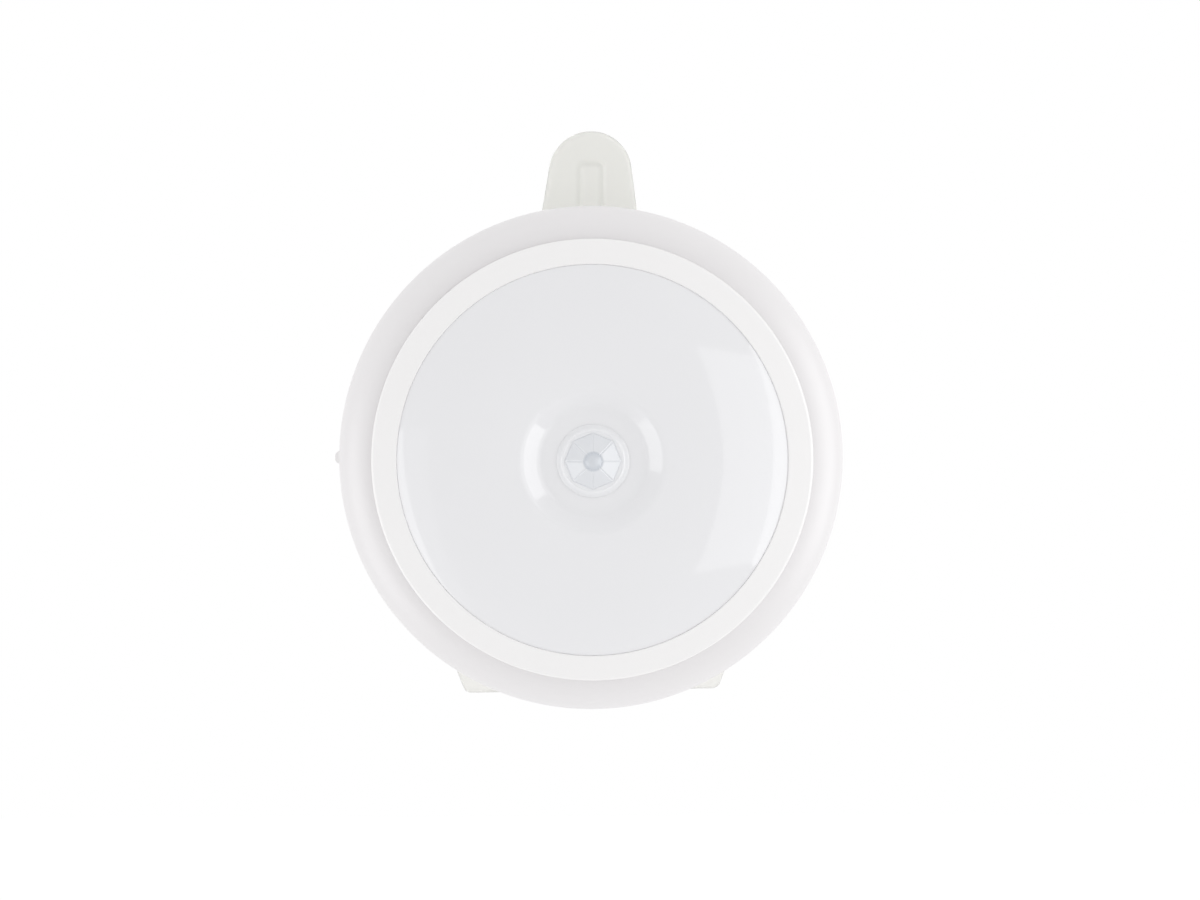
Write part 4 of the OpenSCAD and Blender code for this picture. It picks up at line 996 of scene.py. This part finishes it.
def two_part(name, axis, centre_mm, half_mm, within, beyond, grain_mm):
    """within fills the span of half_mm each side of centre_mm along an axis; beyond is the rest."""
    material, tree, place = new_material(name)
    grain = add(tree, "ShaderNodeTexNoise", {"Vector": place, "Scale": 1 / (grain_mm * MM), "Detail": 3.0})
    relief = add(tree, "ShaderNodeBump", {"Height": grain, "Distance": TWO_PART_GRAIN_H, "Strength": 1.0})
    along = add(tree, "ShaderNodeSeparateXYZ", {0: place}).outputs[axis]
    mask = add(tree, "ShaderNodeMath", {0: along, 1: centre_mm * MM, 2: half_mm * MM}, operation="COMPARE")
    skins = []
    for pale, deep, inputs in (beyond, within):
        tone = add(tree, "ShaderNodeMix", {0: grain, 6: linear(pale), 7: linear(deep)}, data_type="RGBA")
        skins.append(add(tree, "ShaderNodeBsdfPrincipled", {
            "Base Color": tone.outputs[2], "Normal": relief, **inputs,
        }))
    joined = add(tree, "ShaderNodeMixShader", {0: mask, 1: skins[0], 2: skins[1]})
    add(tree, "ShaderNodeOutputMaterial", {"Surface": joined})
    return material


# Tin is a pale soft metal, the cells' film a dark green under a clear gloss, moulded epoxy a dull
# black, and a drawn aluminium can a cool bright grey.
tinned = ("#CFCDC8", "#C2C0BB", {"Metallic": 1.0, "Roughness": 0.28})
film = ("#2F5A4C", "#2A5145", {"Roughness": 0.3, "IOR": 1.5, "Coat Weight": 0.5, "Coat Roughness": 0.12})
epoxy = ("#232426", "#1D1E20", {"Roughness": 0.55, "IOR": 1.55})
aluminium = ("#D3D5D7", "#C6C8CB", {"Metallic": 1.0, "Roughness": 0.3})
FILM_HALF = 19.6  # the film covers this much of a cell, each way from its middle
LEG_OUT = 1.0  # how far the legs stand out of the chip
CAN_H = 3.8  # the can stands this high on its black foot

cell_skin = two_part("film_and_plated_steel", "Z", 0.0, FILM_HALF, film, tinned, grain_mm=0.5)
chip_low, chip_high = (np.array(box_corner) / MM for box_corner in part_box("control_chip"))
chip_skin = two_part(
    "black_epoxy_tinned_legs", "Z", (chip_low[2] + chip_high[2]) / 2,
    (chip_high[2] - chip_low[2]) / 2 - LEG_OUT, epoxy, tinned, grain_mm=0.12)
can_front = float(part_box("capacitor")[0][1]) / MM
can_skin = two_part(
    "aluminium_can_black_foot", "Y", can_front + CAN_H / 2, CAN_H / 2, aluminium, epoxy, grain_mm=0.3)
print("two-part skins:", cell_skin.name, chip_skin.name, can_skin.name)

# %% Board
# White solder mask over woven glass: an even white with a faint weave in its shine, and the
# yellow-brown of bare laminate along the cut edge.
THREAD = 0.5 * MM  # distance between two threads of the glass cloth
WAVE = 2 * math.pi / 20 / THREAD  # a wave texture of scale 1 repeats every 2 pi / 20
WEAVE_H, MASK_CLOUD, CUT_EDGE = 0.006 * MM, 6 * MM, 0.04 * MM

board, tree, place = new_material("white_masked_laminate")
warp, weft = (
    add(tree, "ShaderNodeTexWave", {"Vector": place, "Scale": WAVE, "Distortion": 0.4}, bands_direction=d)
    for d in "XZ"
)
weave = add(tree, "ShaderNodeMath", {0: warp.outputs["Fac"], 1: weft.outputs["Fac"]}, operation="MAXIMUM")
relief = add(tree, "ShaderNodeBump", {"Height": weave, "Distance": WEAVE_H, "Strength": 1.0})
clouds = add(tree, "ShaderNodeTexNoise", {"Vector": place, "Scale": 1 / MASK_CLOUD, "Detail": 3.0})
mask_white = add(tree, "ShaderNodeMix", {
    0: clouds, 6: linear("#EEF0EC"), 7: linear("#E6E9E4"),
}, data_type="RGBA")
flat_place = add(tree, "ShaderNodeVectorMath", {0: place, 1: (1, 0, 1)}, operation="MULTIPLY")
from_axis = add(tree, "ShaderNodeVectorMath", {0: flat_place}, operation="LENGTH")
board_r = float(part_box("circuit_board")[1][0])
cut_edge = add(tree, "ShaderNodeMath", {
    0: from_axis.outputs["Value"], 1: board_r - CUT_EDGE,
}, operation="GREATER_THAN")
colour = add(tree, "ShaderNodeMix", {
    0: cut_edge, 6: mask_white.outputs[2], 7: linear("#B5A06B"),
}, data_type="RGBA")
skin = add(tree, "ShaderNodeBsdfPrincipled", {
    "Base Color": colour.outputs[2], "Roughness": 0.34, "IOR": 1.55, "Normal": relief,
})
add(tree, "ShaderNodeOutputMaterial", {"Surface": skin})
print("board:", board.name, "radius", round(board_r / MM, 2), "mm")

# %% Small parts
# Polyphthalamide: a dense warm white, which throws the diodes' light forward.
ppa = surface(
    "white_polyphthalamide", "#F1F0EA", "#EAE9E2",
    roughness=(0.38, 0.48), clouds=1.5, grain=(0.08, 0.003), IOR=1.57)
# Silicone full of phosphor: an egg-yolk yellow that light sinks into before it comes out again.
phosphor = surface(
    "phosphor_silicone", "#F0C43C", "#E5B52C",
    roughness=(0.30, 0.42), clouds=0.4, grain=(0.06, 0.004), IOR=1.41,
    **{"Subsurface Weight": 0.5, "Subsurface Radius": (1.0, 0.95, 0.9), "Subsurface Scale": 0.3 * MM})
# Silicon passes heat rays alone: to the eye it is a dark grey mirror.
silicon = surface(
    "filter_silicon", "#3B3E46", "#33363E",
    roughness=(0.06, 0.10), clouds=3, grain=(0.2, 0.0003), IOR=3.6)
# Cast epoxy: water-clear, with sharp highlights.
clear_epoxy = surface(
    "clear_epoxy", "#EDF3F6", "#E7EEF2",
    roughness=(0.04, 0.08), clouds=2, grain=(0.2, 0.0005), IOR=1.55, **{"Transmission Weight": 0.9})
# Moulded nylon: a soft black with a dull shine.
black_nylon = surface(
    "black_nylon", "#29292B", "#222224",
    roughness=(0.42, 0.54), clouds=2, grain=(0.15, 0.004), IOR=1.53)
# Fired ceramic of the chip parts: a dry tan with fine specks.
ceramic = surface(
    "tan_ceramic", "#B79A76", "#A98B67",
    roughness=(0.40, 0.52), clouds=0.6, grain=(0.08, 0.004), IOR=1.7)
small_skins = (ppa, phosphor, silicon, clear_epoxy, black_nylon, ceramic)
print("small parts:", [m.name for m in small_skins])

# %% Dress the solids that stay
FINISH = {
    satin_abs: ["back_cover", "bezel_ring", "switch_cap"],
    utility_abs: ["battery_tray", "lens_holder"],
    nickel: ["sensor_can", "contact_plates", "switch_frame"],
    zinc: ["board_screws", "tray_screws"],
    silicon: ["sensor_window"],
    board: ["circuit_board"],
    ppa: ["led_packages"],
    phosphor: ["led_phosphors"],
    clear_epoxy: ["daylight_sensor"],
    chip_skin: ["control_chip"],
    ceramic: ["chip_parts"],
    can_skin: ["capacitor"],
    cell_skin: ["cell_left", "cell_middle", "cell_right"],
    black_nylon: ["switch_slider"],
}
for material, names in FINISH.items():
    for name in names:
        nodes[name].data.materials.clear()
        nodes[name].data.materials.append(material)
print("dressed solids:", sum(len(names) for names in FINISH.values()))
